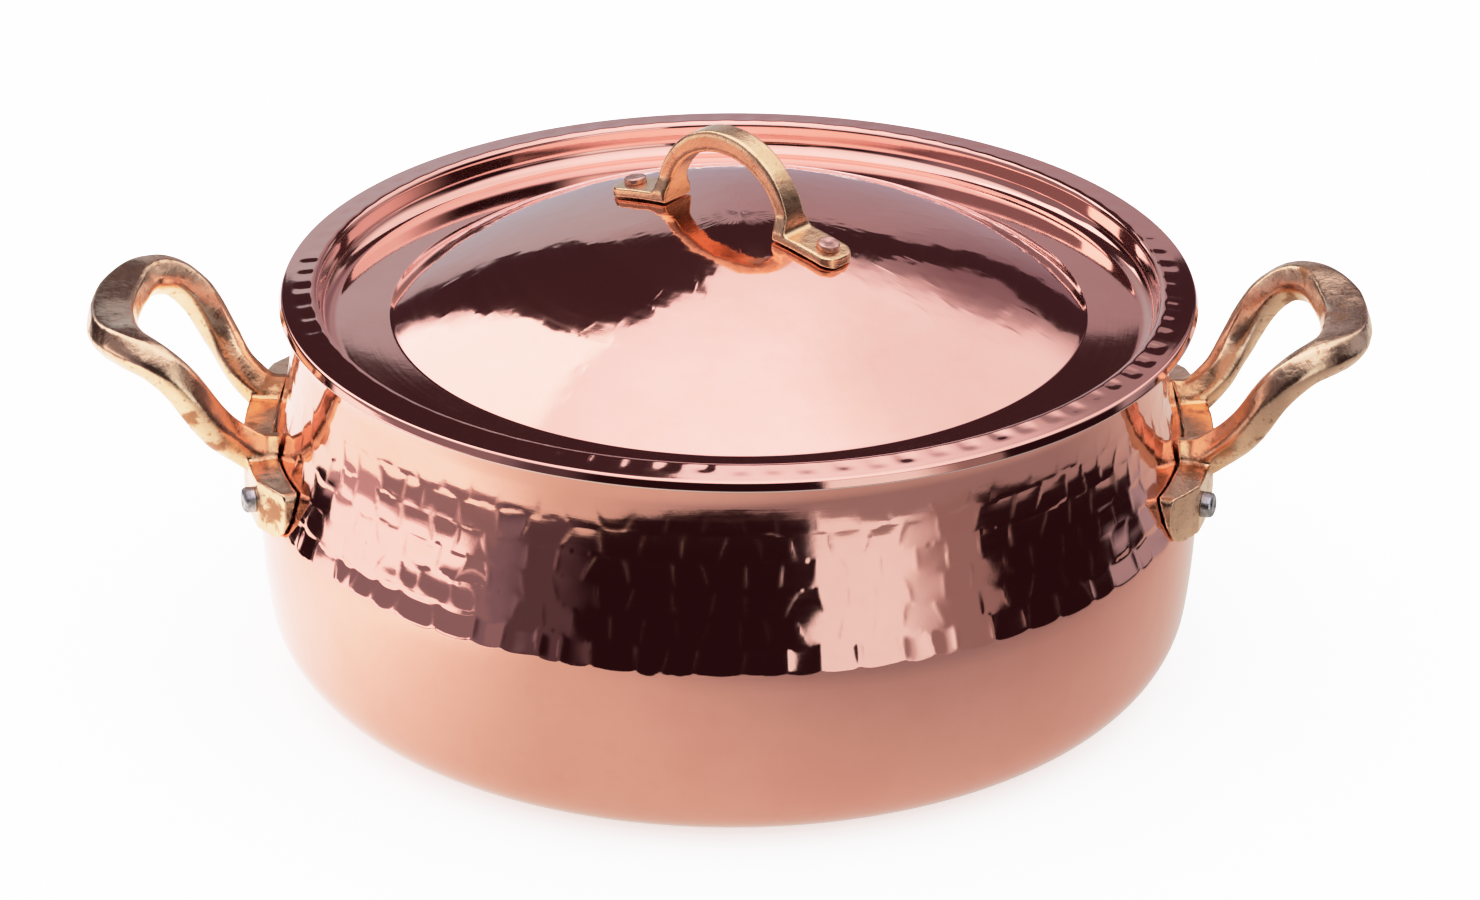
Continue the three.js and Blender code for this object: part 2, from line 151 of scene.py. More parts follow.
# Uneven metal: the size and depth of each ripple, and what it adds to the seed
CAST_RIPPLES = [(9 * MM, 0.34 * MM, 0), (3.2 * MM, 0.09 * MM, 5)]
STRAP_RIPPLES = [(7 * MM, 0.16 * MM, 3), (2.4 * MM, 0.05 * MM, 9)]
RIVET_RIPPLES = [(2.6 * MM, 0.35 * MM, 0)]

# Hammer marks: rows of shallow cells between fine ridges. On the dome they start at the top. On the
# pot they fill a band that a ledge at its foot sinks into the wall, as far as the rim
BAND_LOW = 64.5 * MM
BAND_HIGH = 116 * MM
BAND_FADE = 14 * MM
LEDGE_DEPTH = 1.4 * MM
LEDGE_RISE = 7 * MM
LEDGE_END = 9 * MM
MARK_WIDTH_SHARES = (0.7, 1.3)
RIDGE_SHARES = (0.35, 1)
SCALLOP = 1.1 * MM
SLANT_SHARE = 0.25
ROW_WAVE = 0.8 * MM
ROW_WAVE_COUNTS = (17, 41, 67)
POT_MARKS = {
    "height": 9 * MM, "width": 11.5 * MM, "bowl": 0.07 * MM,
    "ridge": 0.05 * MM, "ridge_width": 0.8 * MM, "tilt": 0.07 * MM, "seed": 11,
}
DOME_MARKS = {
    "height": 10 * MM, "width": 15 * MM, "bowl": 0.045 * MM,
    "ridge": 0, "ridge_width": 2 * MM, "tilt": 0.03 * MM, "seed": 23,
}

# Notches punched round the flange, with shares of their pitch and of the flange's width
NOTCH_COUNT = 82
NOTCH_DEPTH = 0.2 * MM
NOTCH_DEPTH_SHARES = (0.45, 1)
NOTCH_SHIFT_SHARE = 0.1
NOTCH_SIDE_SHARES = (0.05, 0.42)
NOTCH_START_SHARES = (0.02, 0.25)
NOTCH_REACH_SHARES = (0.62, 0.78)
NOTCH_END_SHARE = 0.3
NOTCH_SEED = 29

# How finely the skins are divided
POT_COLUMNS = 1400
LID_COLUMNS = 984
RIVET_COLUMNS = 64
LOOP_STEPS = 120
LOOP_LEVELS = 2
PLATE_RINGS = 120
PLATE_LEVELS = 9
STRAP_SLICES = 41
CURVE_STEPS = 40
COARSE_STEP = 10 * MM
PLAIN_STEP = 2 * MM
DOME_STEP = 1.5 * MM
ARCH_STEP = 1 * MM
BAND_STEP = 0.7 * MM
FINE_STEP = 0.5 * MM
HEAD_SIDE_STEP = 0.4 * MM
HEAD_TOP_STEP = 0.3 * MM
CAST_VOXEL = 0.55 * MM
STRAP_VOXEL = 0.45 * MM


# Profiles of radius and height

def arc(centre_r, centre_z, radius, start, end, step=PLAIN_STEP):
    """Points of an arc, a step apart at most."""
    count = max(2, math.ceil(abs(end - start) * radius / step))
    turn = np.linspace(start, end, count + 1)
    return np.column_stack((centre_r + radius * np.cos(turn), centre_z + radius * np.sin(turn)))


def straight(start, end, step=PLAIN_STEP):
    """Points of a straight stretch, a step apart at most."""
    count = max(1, math.ceil(math.dist(start, end) / step))
    return np.linspace(start, end, count + 1)


def joined(*stretches):
    """One profile from stretches that meet end to end."""
    profile = [stretches[0], *(stretch[1:] for stretch in stretches[1:])]
    return np.concatenate(profile)


def fillet(before, corner, after, radius, step=FINE_STEP):
    """The arc that rounds a corner of a profile."""
    before, corner, after = (np.array(point, float) for point in (before, corner, after))
    back = (before - corner) / np.linalg.norm(before - corner)
    ahead = (after - corner) / np.linalg.norm(after - corner)
    half = math.acos(float(back @ ahead)) / 2
    inward = (back + ahead) / np.linalg.norm(back + ahead)
    centre = corner + inward * radius / math.sin(half)
    start = corner + back * radius / math.tan(half) - centre
    end = corner + ahead * radius / math.tan(half) - centre
    first = math.atan2(start[1], start[0])
    sweep = math.atan2(start[0] * end[1] - start[1] * end[0], float(start @ end))
    return arc(centre[0], centre[1], radius, first, first + sweep, step)


def edge_normals(profile):
    """Unit normals of a profile, to the right of its direction."""
    along = np.gradient(profile, axis=0)
    along /= np.linalg.norm(along, axis=1, keepdims=True)
    return np.column_stack((along[:, 1], -along[:, 0]))


def run_along(profile):
    """The distance run along a profile at each of its points."""
    return np.concatenate(([0], np.cumsum(np.linalg.norm(np.diff(profile, axis=0), axis=1))))


def eased(value, low, high):
    """0 below low, 1 above high and smooth between."""
    share = np.clip((value - low) / (high - low), 0, 1)
    return share * share * (3 - 2 * share)


# Meshes

def new_piece(name, data):
    """A new object in the scene from its mesh or camera."""
    piece = bpy.data.objects.new(name, data)
    bpy.context.scene.collection.objects.link(piece)
    return piece


def mesh_piece(name, vertices, faces):
    """A new object in the scene from its vertices and faces."""
    mesh = bpy.data.meshes.new(name)
    mesh.from_pydata([tuple(v) for v in np.asarray(vertices).tolist()], [], faces)
    mesh.validate()
    mesh.shade_smooth()
    return new_piece(name, mesh)


def keep_shares(piece, name, shares):
    """Keeps a share for each point on the piece, for its material to read."""
    kept = piece.data.attributes.new(name, "FLOAT", "POINT")
    kept.data.foreach_set("value", shares)


def ring_faces(rows, count):
    """The faces between rows of rings, each with a count of points."""
    here = np.arange(count)
    ahead = (here + 1) % count
    faces = []
    for low in range(0, (rows - 1) * count, count):
        high = low + count
        faces += np.column_stack((low + here, low + ahead, high + ahead, high + here)).tolist()
    return faces


def turned(name, profile, columns, dents=None, lined_after=None, ridges=None):
    """A closed skin turned about Z from a profile that starts and ends on the axis. Dents push the
    skin in, the second material starts after a point of the profile, and ridges are kept."""
    angles = np.arange(columns) * TURN / columns
    skin = np.repeat(profile[1:-1, None], columns, axis=1)
    if dents is not None:
        skin = skin - dents[1:-1, :, None] * edge_normals(profile)[1:-1, None]
    radius, height = skin[..., 0], skin[..., 1]
    around = np.stack((radius * np.cos(angles), radius * np.sin(angles), height), axis=-1)
    vertices = np.vstack((around.reshape(-1, 3), [0, 0, profile[0, 1]], [0, 0, profile[-1, 1]]))
    rows = len(profile) - 2
    foot = rows * columns
    last = foot - columns
    pairs = [(a, (a + 1) % columns) for a in range(columns)]
    faces = [[foot, b, a] for a, b in pairs]
    faces += ring_faces(rows, columns)
    faces += [[foot + 1, last + a, last + b] for a, b in pairs]
    piece = mesh_piece(name, vertices, faces)
    if lined_after is not None:
        kinds = np.repeat(np.arange(rows + 1) > lined_after, columns)
        piece.data.polygons.foreach_set("material_index", kinds.astype(int).tolist())
    if ridges is not None:
        keep_shares(piece, "ridge", [*ridges[1:-1].ravel().tolist(), 0, 0])
    return piece


def lofted(name, rings):
    """A closed skin through a row of rings with a cap at each end."""
    count = len(rings[0])
    last = (len(rings) - 1) * count
    faces = ring_faces(len(rings), count)
    faces.append(list(reversed(range(count))))
    faces.append([last + j for j in range(count)])
    return mesh_piece(name, np.concatenate(rings), faces)


def settled(piece):
    """Puts what the piece's modifiers make into its mesh."""
    graph = bpy.context.evaluated_depsgraph_get()
    made = bpy.data.meshes.new_from_object(piece.evaluated_get(graph))
    piece.modifiers.clear()
    old = piece.data
    piece.data = made
    bpy.data.meshes.remove(old)
    return piece


def fused(name, parts, voxel, smoothing):
    """Overlapping closed parts as one skin, with its edges and inner corners softened."""
    body = bmesh.new()
    for part in parts:
        body.from_mesh(part.data)
        bpy.data.objects.remove(part)
    mesh = bpy.data.meshes.new(name)
    body.to_mesh(mesh)
    body.free()
    piece = new_piece(name, mesh)
    remesh = piece.modifiers.new("one skin", "REMESH")
    remesh.mode = "VOXEL"
    remesh.voxel_size = voxel
    smooth = piece.modifiers.new("softened", "SMOOTH")
    smooth.iterations = smoothing
    settled(piece)
    piece.data.shade_smooth()
    return piece


def vertex_array(piece, kind="co"):
    """The places of the piece's vertices, or their normals, as an array."""
    points = np.empty(len(piece.data.vertices) * 3)
    piece.data.vertices.foreach_get(kind, points)
    return points.reshape(-1, 3)


def set_vertices(piece, points):
    """Moves the piece's vertices to the points of an array."""
    piece.data.vertices.foreach_set("co", points.ravel())
    piece.data.update()


def rippled(piece, ripples, seed=0):
    """Uneven metal: each ripple moves the skin in along its normals by a smooth noise."""
    for size, depth, more in ripples:
        points = vertex_array(piece)
        normals = vertex_array(piece, "normal")
        shift = Vector((seed + more,) * 3)
        depths = [noise.noise(Vector(point) / size + shift) for point in points]
        inward = (np.array(depths)[:, None] * 0.5 + 0.5) * depth
        set_vertices(piece, points - normals * inward)


# Hammer marks

def hammer_marks(profile, columns, first, last, height, width, bowl, ridge, ridge_width, tilt, seed):
    """How deep rows of hammer marks go into a turned skin between two runs along its profile, how
    close each point is to a ridge, and how far each column is from the middle of its first mark.
    A mark is a shallow cell, tilted a little by its blow, with a ridge at its sides."""
    chance = np.random.default_rng(seed)
    bends = np.random.default_rng(seed + 1)
    runs = run_along(profile)
    angles = np.arange(columns) * TURN / columns
    rows = round((last - first) / height)
    pitch = (last - first) / rows
    wave = np.zeros(columns)
    for turns in ROW_WAVE_COUNTS:
        wave += np.sin(turns * angles + chance.uniform(0, TURN)) * ROW_WAVE / len(ROW_WAVE_COUNTS)
    along = (runs[:, None] - first + wave[None, :]) / pitch
    depths = np.zeros((len(runs), columns))
    ridges = np.zeros((len(runs), columns))
    for row in range(rows):
        around = TURN * float(np.interp(first + (row + 0.5) * pitch, runs, profile[:, 0]))
        count = max(3, round(around / width))
        edges = np.concatenate(([0], np.cumsum(chance.uniform(*MARK_WIDTH_SHARES, count))))
        place = (angles / TURN + chance.random()) % 1 * edges[-1]
        up = 2 * (along - row) - 1
        slant = sum(np.sin(turns * angles + bends.uniform(0, TURN)) for turns in ROW_WAVE_COUNTS)
        place = (place + SLANT_SHARE * slant / len(ROW_WAVE_COUNTS) * up) % edges[-1]
        cell = np.minimum(np.searchsorted(edges, place, side="right"), count) - 1
        across = 2 * (place - edges[cell]) / (edges[cell + 1] - edges[cell]) - 1
        lean_across, lean_up = chance.uniform(-tilt, tilt, (2, count))
        hollow = bowl * (1 - across**2) * (1 - up**2)
        lean = lean_across[cell] * across * (1 - up**2) + lean_up[cell] * up * (1 - across**6)
        to_side = (1 - np.abs(across)) * around / count / 2
        share = chance.uniform(*RIDGE_SHARES, count)[cell]
        crest = share * np.exp(-((to_side / ridge_width) ** 2)) * (1 - up**4)
        inside = (along >= row) & (along < row + 1)
        depths = np.where(inside, hollow + lean - ridge * crest, depths)
        ridges = np.where(inside, crest, ridges)
        if row == 0:
            off_middle = np.abs(across[np.searchsorted(runs, first)])
    return depths, ridges, off_middle


# The pot

def pot_outline():
    """The outer profile of the pot from the axis to the rim."""
    height = BELLY_HEIGHT - CORNER_RADIUS
    lower = (BASE_INSET**2 + height**2 - CORNER_RADIUS**2) / (2 * (BASE_INSET - CORNER_RADIUS))
    tangent = math.atan2(-height, lower - BASE_INSET)
    neck_foot = POT_HEIGHT - NECK_HEIGHT
    rise = neck_foot - BELLY_HEIGHT
    lean = 2 * math.atan(BELLY_SWELL / rise)
    radii = rise / math.sin(lean)
    shoulder = radii * SHOULDER_SHARE
    upper = radii - shoulder
    base = BELLY_RADIUS - BASE_INSET
    lip = NECK_RADIUS + LIP_FLARE
    return joined(
        straight((0, 0), (base, 0), COARSE_STEP),
        arc(base, CORNER_RADIUS, CORNER_RADIUS, -QUARTER, tangent),
        arc(BELLY_RADIUS - lower, BELLY_HEIGHT, lower, tangent, 0),
        arc(BELLY_RADIUS - upper, BELLY_HEIGHT, upper, 0, lean, BAND_STEP),
        arc(NECK_RADIUS + shoulder, neck_foot, shoulder, math.pi + lean, math.pi, BAND_STEP),
        straight((NECK_RADIUS, neck_foot), (NECK_RADIUS, POT_HEIGHT - LIP_HEIGHT)),
        straight((NECK_RADIUS, POT_HEIGHT - LIP_HEIGHT), (lip, POT_HEIGHT - LIP_EDGE), FINE_STEP),
    )


OUTLINE = pot_outline()


def pot_radius(height):
    """The outer radius of the pot at a height above its corner."""
    side = OUTLINE[OUTLINE[:, 0] > BELLY_RADIUS - BASE_INSET]
    return np.interp(height, side[:, 1], side[:, 0])


def seat_radius(height):
    """The pot's radius where the handles lie on it, with the hammered band a little further in."""
    ledge = np.interp(height, (BAND_LOW, BAND_LOW + LEDGE_RISE), (0, LEDGE_DEPTH))
    return pot_radius(height) - ledge


def copper_pot():
    """The pot, one sheet from rim to rim: hammered outside on the shoulder, tinned inside."""
    half = WALL / 2
    outside = OUTLINE
    inside = (outside - edge_normals(outside) * WALL)[::-1]
    inside[-1, 0] = 0
    rim_middle = (outside[-1] + inside[0]) / 2
    rim = arc(rim_middle[0], POT_HEIGHT - half, half, 0, math.pi, step=half / 3)
    profile = np.concatenate((outside[:-1], rim, inside[1:]))
    runs = run_along(profile)
    outer = len(outside) - 1
    low, high = np.interp((BAND_LOW, BAND_HIGH), outside[:, 1], runs[:outer + 1])
    marks, ridges, off_middle = hammer_marks(profile, POT_COLUMNS, low, high, **POT_MARKS)
    fade = (1 - eased(runs, high - BAND_FADE, high))[:, None]
    start = runs[:, None] - SCALLOP * off_middle[None, :] ** 2
    ledge = np.interp(start, (low, low + LEDGE_RISE), (0, LEDGE_DEPTH))
    ledge *= 1 - eased(runs, runs[outer] - LEDGE_END, runs[outer])[:, None]
    dents = marks * fade + ledge
    dents[outer:] = 0
    return turned("copper_pot", profile, POT_COLUMNS, dents, outer + len(rim) // 2, ridges * fade)


# The lid

def lid_outline():
    """The upper profile of the lid from the axis to the edge of its flange."""
    lean = math.asin(DOME_RADIUS / DOME_SPHERE)
    dome = arc(0, DOME_RISE - DOME_SPHERE, DOME_SPHERE, QUARTER, QUARTER - lean, DOME_STEP)[:-1]
    crease = (DOME_RADIUS, -DOME_FOOT)
    foot = (CHANNEL_RADIUS - CHANNEL_DRAFT, -CHANNEL_DEPTH)
    root = (CHANNEL_RADIUS, 0)
    edge = (FLANGE_RADIUS - FLANGE_BEAD - FACE_INSET, -FLANGE_DROOP)
    rounds = [
        fillet(dome[-1], crease, foot, CREASE_FILLET, step=CREASE_FILLET / 4),
        fillet(crease, foot, root, CHANNEL_FILLET),
        fillet(foot, root, edge, FLANGE_FILLET),
    ]
    dome = dome[dome[:, 0] < rounds[0][0, 0]]
    stretches = [dome, straight(dome[-1], rounds[0][0])]
    for rounded, after in zip(rounds, (rounds[1][0], rounds[2][0], edge)):
        stretches += [rounded, straight(rounded[-1], after, FINE_STEP)]
    return joined(*stretches)


def flange_notches(radii, columns):
    """Short radial notches punched round the flange, 1 where they are deepest."""
    chance = np.random.default_rng(NOTCH_SEED)
    place = np.arange(columns) * NOTCH_COUNT / columns
    which = np.floor(place).astype(int)
    depth = chance.uniform(*NOTCH_DEPTH_SHARES, NOTCH_COUNT)[which]
    shift = chance.uniform(-NOTCH_SHIFT_SHARE, NOTCH_SHIFT_SHARE, NOTCH_COUNT)[which]
    across = np.abs(place - which - 0.5 - shift)
    groove = 1 - eased(across, *NOTCH_SIDE_SHARES)
    out = (radii - CHANNEL_RADIUS) / FLANGE_WIDTH
    reach = chance.uniform(*NOTCH_REACH_SHARES, NOTCH_COUNT)[which]
    along = eased(out, *NOTCH_START_SHARES)[:, None]
    along = along * (1 - eased(out[:, None], reach - NOTCH_END_SHARE, reach))
    return along * (groove * depth)[None, :]


def copper_lid():
    """The lid, one sheet: a gently hammered dome, a channel and a notched flange."""
    upper = lid_outline()
    under = (upper + edge_normals(upper) * LID_THICKNESS)[::-1]
    under[-1, 0] = 0
    under = under[under[:, 0] < upper[-1, 0] - FLANGE_TOE]
    bead = arc(
        upper[-1, 0], upper[-1, 1] - FLANGE_BEAD, FLANGE_BEAD,
        QUARTER - math.atan(FLANGE_DROOP / FLANGE_WIDTH), FACE_LEAN, step=FLANGE_BEAD / 6,
    )
    out = np.array((math.cos(FACE_LEAN), math.sin(FACE_LEAN)))
    down = np.array((math.sin(FACE_LEAN), -math.cos(FACE_LEAN)))
    foot = bead[-1] + down * FLANGE_FACE
    toe = arc(*(foot - out * FLANGE_TOE), FLANGE_TOE, FACE_LEAN, TOE_TURN, step=FLANGE_TOE / 4)
    rim = joined(bead, straight(bead[-1], foot, FINE_STEP), toe)
    profile = np.concatenate((upper[:-1], rim, under))
    runs = run_along(profile)
    crease = float(np.interp(DOME_RADIUS, upper[:, 0], runs[:len(upper)]))
    plain = crease - DOME_MARKS["height"] / 2
    marks, _, _ = hammer_marks(profile, LID_COLUMNS, 0, plain, **DOME_MARKS)
    dents = -marks * (1 - eased(runs, plain - DOME_MARKS["height"], plain))[:, None]
    dents[:len(upper)] -= flange_notches(upper[:, 0], LID_COLUMNS) * NOTCH_DEPTH
    dents[len(upper):] = 0
    lid = turned("copper_lid", profile, LID_COLUMNS, dents, len(upper) + len(rim) // 2)
    lid.data.flip_normals()
    lid.data.transform(Matrix.Translation(LID_PLACE))
    return lid


# The side handles

PLATE_FOOT = PLATE_TOP - PLATE_HEIGHT
PLATE_RADIUS = float(max(pot_radius(PLATE_FOOT), pot_radius(PLATE_TOP))) + PLATE_THICKNESS
SIDE_RIVET_ANGLE = math.asin((PLATE_SPAN / 2 - SIDE_RIVET_INSET) / PLATE_RADIUS)

# Half of the loop's centre line as shares of its reach, half spread and rise, root to tip
LOOP_SHARES = [
    (-0.16, 0.64, 0), (0.04, 0.66, 0.02), (0.2, 0.75, 0.17), (0.34, 0.92, 0.41),
    (0.52, 1, 0.78), (0.68, 0.96, 0.96), (0.84, 0.8, 1.01), (0.955, 0.46, 0.98),
]
LOOP_TIP_SHARES = (1, 0, 0.96)

# The loop's section from its outer ridge round the underside to its inner ridge
SECTION_SHARES = [
    (0.46, 0.16), (0.5, 0.02), (0.47, -0.14), (0.3, -0.42), (0.16, -0.5),
    (-0.16, -0.5), (-0.3, -0.42), (-0.47, -0.14), (-0.5, 0.02), (-0.46, 0.16),
]
TOP_SHARES = {"bar": 0.13, "grip": 0.34, "shoulder": 0.06, "shoulder_drop": 0.04}
GRIP_SHARES = (0.12, 0.45)
ROOT_SHARES = (0.82, 0.97)


def smooth_line(points, count):
    """Evenly spaced points on a smooth curve through the given points."""
    points = np.array(points)
    ends = np.vstack((2 * points[0] - points[1], points, 2 * points[-1] - points[-2]))
    steps = np.sqrt(np.linalg.norm(np.diff(ends, axis=0), axis=1))
    share = np.linspace(0, 1, CURVE_STEPS, endpoint=False)[:, None]
    curve = []
    for i in range(len(points) - 1):
        before, start, end, after = ends[i:i + 4]
        t0, t1, t2 = steps[i:i + 3]
        leave = ((start - before) / t0 - (end - before) / (t0 + t1) + (end - start) / t1) * t1
        reach = ((end - start) / t1 - (after - start) / (t1 + t2) + (after - end) / t2) * t1
        square = (3 * (end - start) - 2 * leave - reach) * share**2
        cube = (2 * (start - end) + leave + reach) * share**3
        curve.append(start + leave * share + square + cube)
    curve = np.vstack((*curve, points[-1:]))
    runs = run_along(curve)
    wanted = np.linspace(0, runs[-1], count + 1)
    return np.column_stack([np.interp(wanted, runs, curve[:, axis]) for axis in range(3)])


def handle_loop():
    """The raised loop, swept from one root over the grip to the other root."""
    root = Vector((PLATE_RADIUS - LOOP_ROOT_INSET, 0, PLATE_TOP - LOOP_ROOT_DROP))
    size = Vector((LOOP_REACH, LOOP_HALF_SPREAD, LOOP_RISE))

    def place(shares, side):
        reach, spread, rise = shares
        return root + Vector((reach, side * spread, rise)) * size

    half = [place(shares, -1) for shares in LOOP_SHARES]
    other = [place(shares, 1) for shares in reversed(LOOP_SHARES)]
    line = smooth_line([*half, place(LOOP_TIP_SHARES, 1), *other], LOOP_STEPS)
    ahead = np.gradient(line, axis=0)
    rings = []
    for i, centre in enumerate(line):
        way = Vector(ahead[i]).normalized()
        side = Vector((way.y, -way.x, 0)).normalized()
        up = side.cross(way).normalized()
        from_tip = abs(2 * i / LOOP_STEPS - 1)
        grip = 1 - float(eased(from_tip, *GRIP_SHARES))
        swell = float(eased(from_tip, *ROOT_SHARES))
        width = BAR_WIDTH + (GRIP_WIDTH - BAR_WIDTH) * grip
        bar_height = BAR_HEIGHT + (ROOT_HEIGHT - BAR_HEIGHT) * swell
        height = bar_height + (GRIP_HEIGHT - bar_height) * grip
        top = TOP_SHARES["bar"] + (TOP_SHARES["grip"] - TOP_SHARES["bar"]) * grip
        shoulder, level = top + TOP_SHARES["shoulder"], 0.5 - TOP_SHARES["shoulder_drop"]
        crown = [(-shoulder, level), (-top, 0.5), (top, 0.5), (shoulder, level)]
        ring = [
            Vector(centre) + side * (across * width) + up * (above * height)
            for across, above in [*SECTION_SHARES, *crown]
        ]
        rings.append(np.array(ring))
    loop = lofted("loop", rings)
    loop.modifiers.new("rounded", "SUBSURF").levels = LOOP_LEVELS
    return settled(loop)


def saddle_plate():
    """The plate round the shoulder, its ears thinned and rounded, its back shaped to the pot."""
    chamfer_at = math.asin((PLATE_SPAN / 2 - PLATE_CHAMFER) / PLATE_RADIUS)
    tip_radius = float(pot_radius(PLATE_MIDDLE)) + PLATE_TIP_THICKNESS
    tip_at = math.asin(PLATE_SPAN / 2 / tip_radius)
    rings = []
    for turn in np.linspace(-tip_at, tip_at, PLATE_RINGS):
        end = (tip_at - abs(turn)) * tip_radius
        thin = max(0.0, (abs(turn) - chamfer_at) / (tip_at - chamfer_at))
        outer = PLATE_RADIUS + (tip_radius - PLATE_RADIUS) * thin
        drop = [
            corner - math.sqrt(max(0.0, corner**2 - max(0.0, corner - end) ** 2))
            for corner in (PLATE_LOW_CORNER, PLATE_TOP_CORNER)
        ]
        low, high = PLATE_FOOT + drop[0], PLATE_TOP - drop[1]
        levels = np.linspace(low, high, PLATE_LEVELS)
        inner = seat_radius(levels) + SEAT_GAP
        outline = [*zip(inner, levels), (outer, high), (outer, low)]
        ring = [(r * math.cos(turn), r * math.sin(turn), z) for r, z in outline]
        rings.append(np.array(ring))
    return lofted("plate", rings)


def clear_of_pot(piece, gap):
    """Moves what is nearer than a gap to the pot straight out from its axis, and gives the points."""
    points = vertex_array(piece)
    radius = np.hypot(points[:, 0], points[:, 1])
    least = seat_radius(points[:, 2]) + gap
    points[:, :2] *= np.maximum(1, least / np.maximum(radius, MM))[:, None]
    set_vertices(piece, points)
    return points


def cast_handle(name, side, seed):
    """A side handle: plate and loop in one casting, its back shaped to the pot it lies on."""
    loop = handle_loop()
    clear_of_pot(loop, 2 * SEAT_GAP)
    handle = fused(name, [loop, saddle_plate()], CAST_VOXEL, smoothing=3)
    rippled(handle, CAST_RIPPLES, seed)
    points = clear_of_pot(handle, SEAT_GAP)
    from_pot = np.hypot(points[:, 0], points[:, 1]) - pot_radius(points[:, 2])
    # Painted shade: a share of the warmer, darker colour, kept on the mesh, strongest close to the pot
    # and in the middle of the plate
    shelter = CAST_PAINTED_SHADE * (1 - eased(from_pot, *PAINTED_SHADE_REACH))
    keep_shares(handle, "shelter", shelter * (1 - eased(np.abs(points[:, 1]), *PAINTED_SHADE_SPREAD)))
    if side < 0:
        handle.data.transform(Matrix.Rotation(math.pi, 4, "Z"))
    return handle


# The lid handle

def strap_outline():
    """One half of the strap seen from its side, from the middle of the arch round the foot, and
    how far its edges are rounded at each point."""
    outer = ARCH_SPAN / 2
    inner = outer - STRAP_THICKNESS
    inner_arc = arc(0, 0, inner, QUARTER, 0, ARCH_STEP)
    inner_arc[:, 1] *= (outer - STRAP_TOP_THICKNESS) / inner
    reach = outer + FOOT_LENGTH
    under = DOME_SPHERE + SEAT_GAP
    over = under + FOOT_THICKNESS
    centre = math.sqrt(under**2 - outer**2) + ARCH_LIFT
    heel = outer + FOOT_FILLET
    fillet_top = math.sqrt(over**2 - heel**2) + FOOT_FILLET
    lift = math.asin(max(0.0, fillet_top - centre) / outer)
    half = np.concatenate((
        inner_arc + [0, centre],
        arc(0, 0, under, math.acos(inner / under), math.acos(reach / under)),
        arc(0, 0, over, math.acos(reach / over), math.acos(heel / over)),
        arc(heel, fillet_top, FOOT_FILLET, -QUARTER, -2 * QUARTER, FINE_STEP)[1:-1],
        arc(0, centre, outer, lift, QUARTER, ARCH_STEP),
    ))
    on_arch = 1 - eased(half[:, 0], inner - STRAP_ROUNDING, outer + FOOT_FILLET)
    on_arch *= eased(half[:, 1], centre - STRAP_ROUNDING, centre + 2 * STRAP_ROUNDING)
    return half, FOOT_ROUNDING + (STRAP_ROUNDING - FOOT_ROUNDING) * on_arch


def seat_on_dome():
    """The frame that the strap and its rivets share, in the middle of the dome's sphere."""
    lean = -math.asin(LID_HANDLE_OFFSET / DOME_SPHERE)
    middle = LID_PLACE + Vector((0, 0, DOME_RISE - DOME_SPHERE))
    turn = Matrix.Rotation(lean, 4, "Y") @ Matrix.Rotation(LID_HANDLE_TURN, 4, "Z")
    return Matrix.Translation(middle) @ turn


def strap_handle():
    """The lid handle: a brass strap bent into an arch, its feet flattened on the dome."""
    half, rounding = strap_outline()
    outline = np.concatenate((half, (half[1:-1] * [-1, 1])[::-1]))
    rounding = np.concatenate((rounding, rounding[1:-1][::-1]))[:, None]
    normals = edge_normals(outline)
    width = STRAP_WIDTH / 2
    rings = []
    for y in np.linspace(-width, width, STRAP_SLICES):
        into_edge = np.maximum(0, np.abs(y) - width + rounding)
        inset = rounding - np.sqrt(np.maximum(0, rounding**2 - into_edge**2))
        ring = outline - normals * inset
        rings.append(np.column_stack((ring[:, 0], np.full(len(ring), y), ring[:, 1])))
    strap = fused("strap_handle", [lofted("strap", rings)], STRAP_VOXEL, smoothing=2)
    points = vertex_array(strap)
    foot_top = DOME_SPHERE + FOOT_THICKNESS - ARCH_SPAN**2 / 8 / DOME_SPHERE
    up = eased(points[:, 2], foot_top, foot_top + 4 * FOOT_FILLET)
    points[:, 1] *= 1 - up * (1 - ARCH_WIDTH / STRAP_WIDTH)
    to_end = np.maximum(0, ARCH_SPAN / 2 + FOOT_LENGTH - np.abs(points[:, 0]))
    into_corner = np.maximum(0, FOOT_CORNER - to_end)
    widest = width - FOOT_CORNER + np.sqrt(np.maximum(0, FOOT_CORNER**2 - into_corner**2))
    points[:, 1] *= np.minimum(1, widest / width)
    set_vertices(strap, points)
    # Painted shade: faces turned in towards the middle of the arch keep a share of the warmer, darker
    # colour
    centre = math.sqrt((DOME_SPHERE + SEAT_GAP) ** 2 - ARCH_SPAN**2 / 4) + ARCH_LIFT
    inward = np.column_stack((-points[:, 0], np.zeros(len(points)), centre - points[:, 2]))
    inward /= np.maximum(np.linalg.norm(inward, axis=1, keepdims=True), MM)
    facing = np.sum(inward * vertex_array(strap, "normal"), axis=1)
    keep_shares(strap, "shelter", eased(facing, 0, ARCH_PAINTED_SHADE))
    rippled(strap, STRAP_RIPPLES)
    strap.data.transform(seat_on_dome())
    return strap


# The rivets

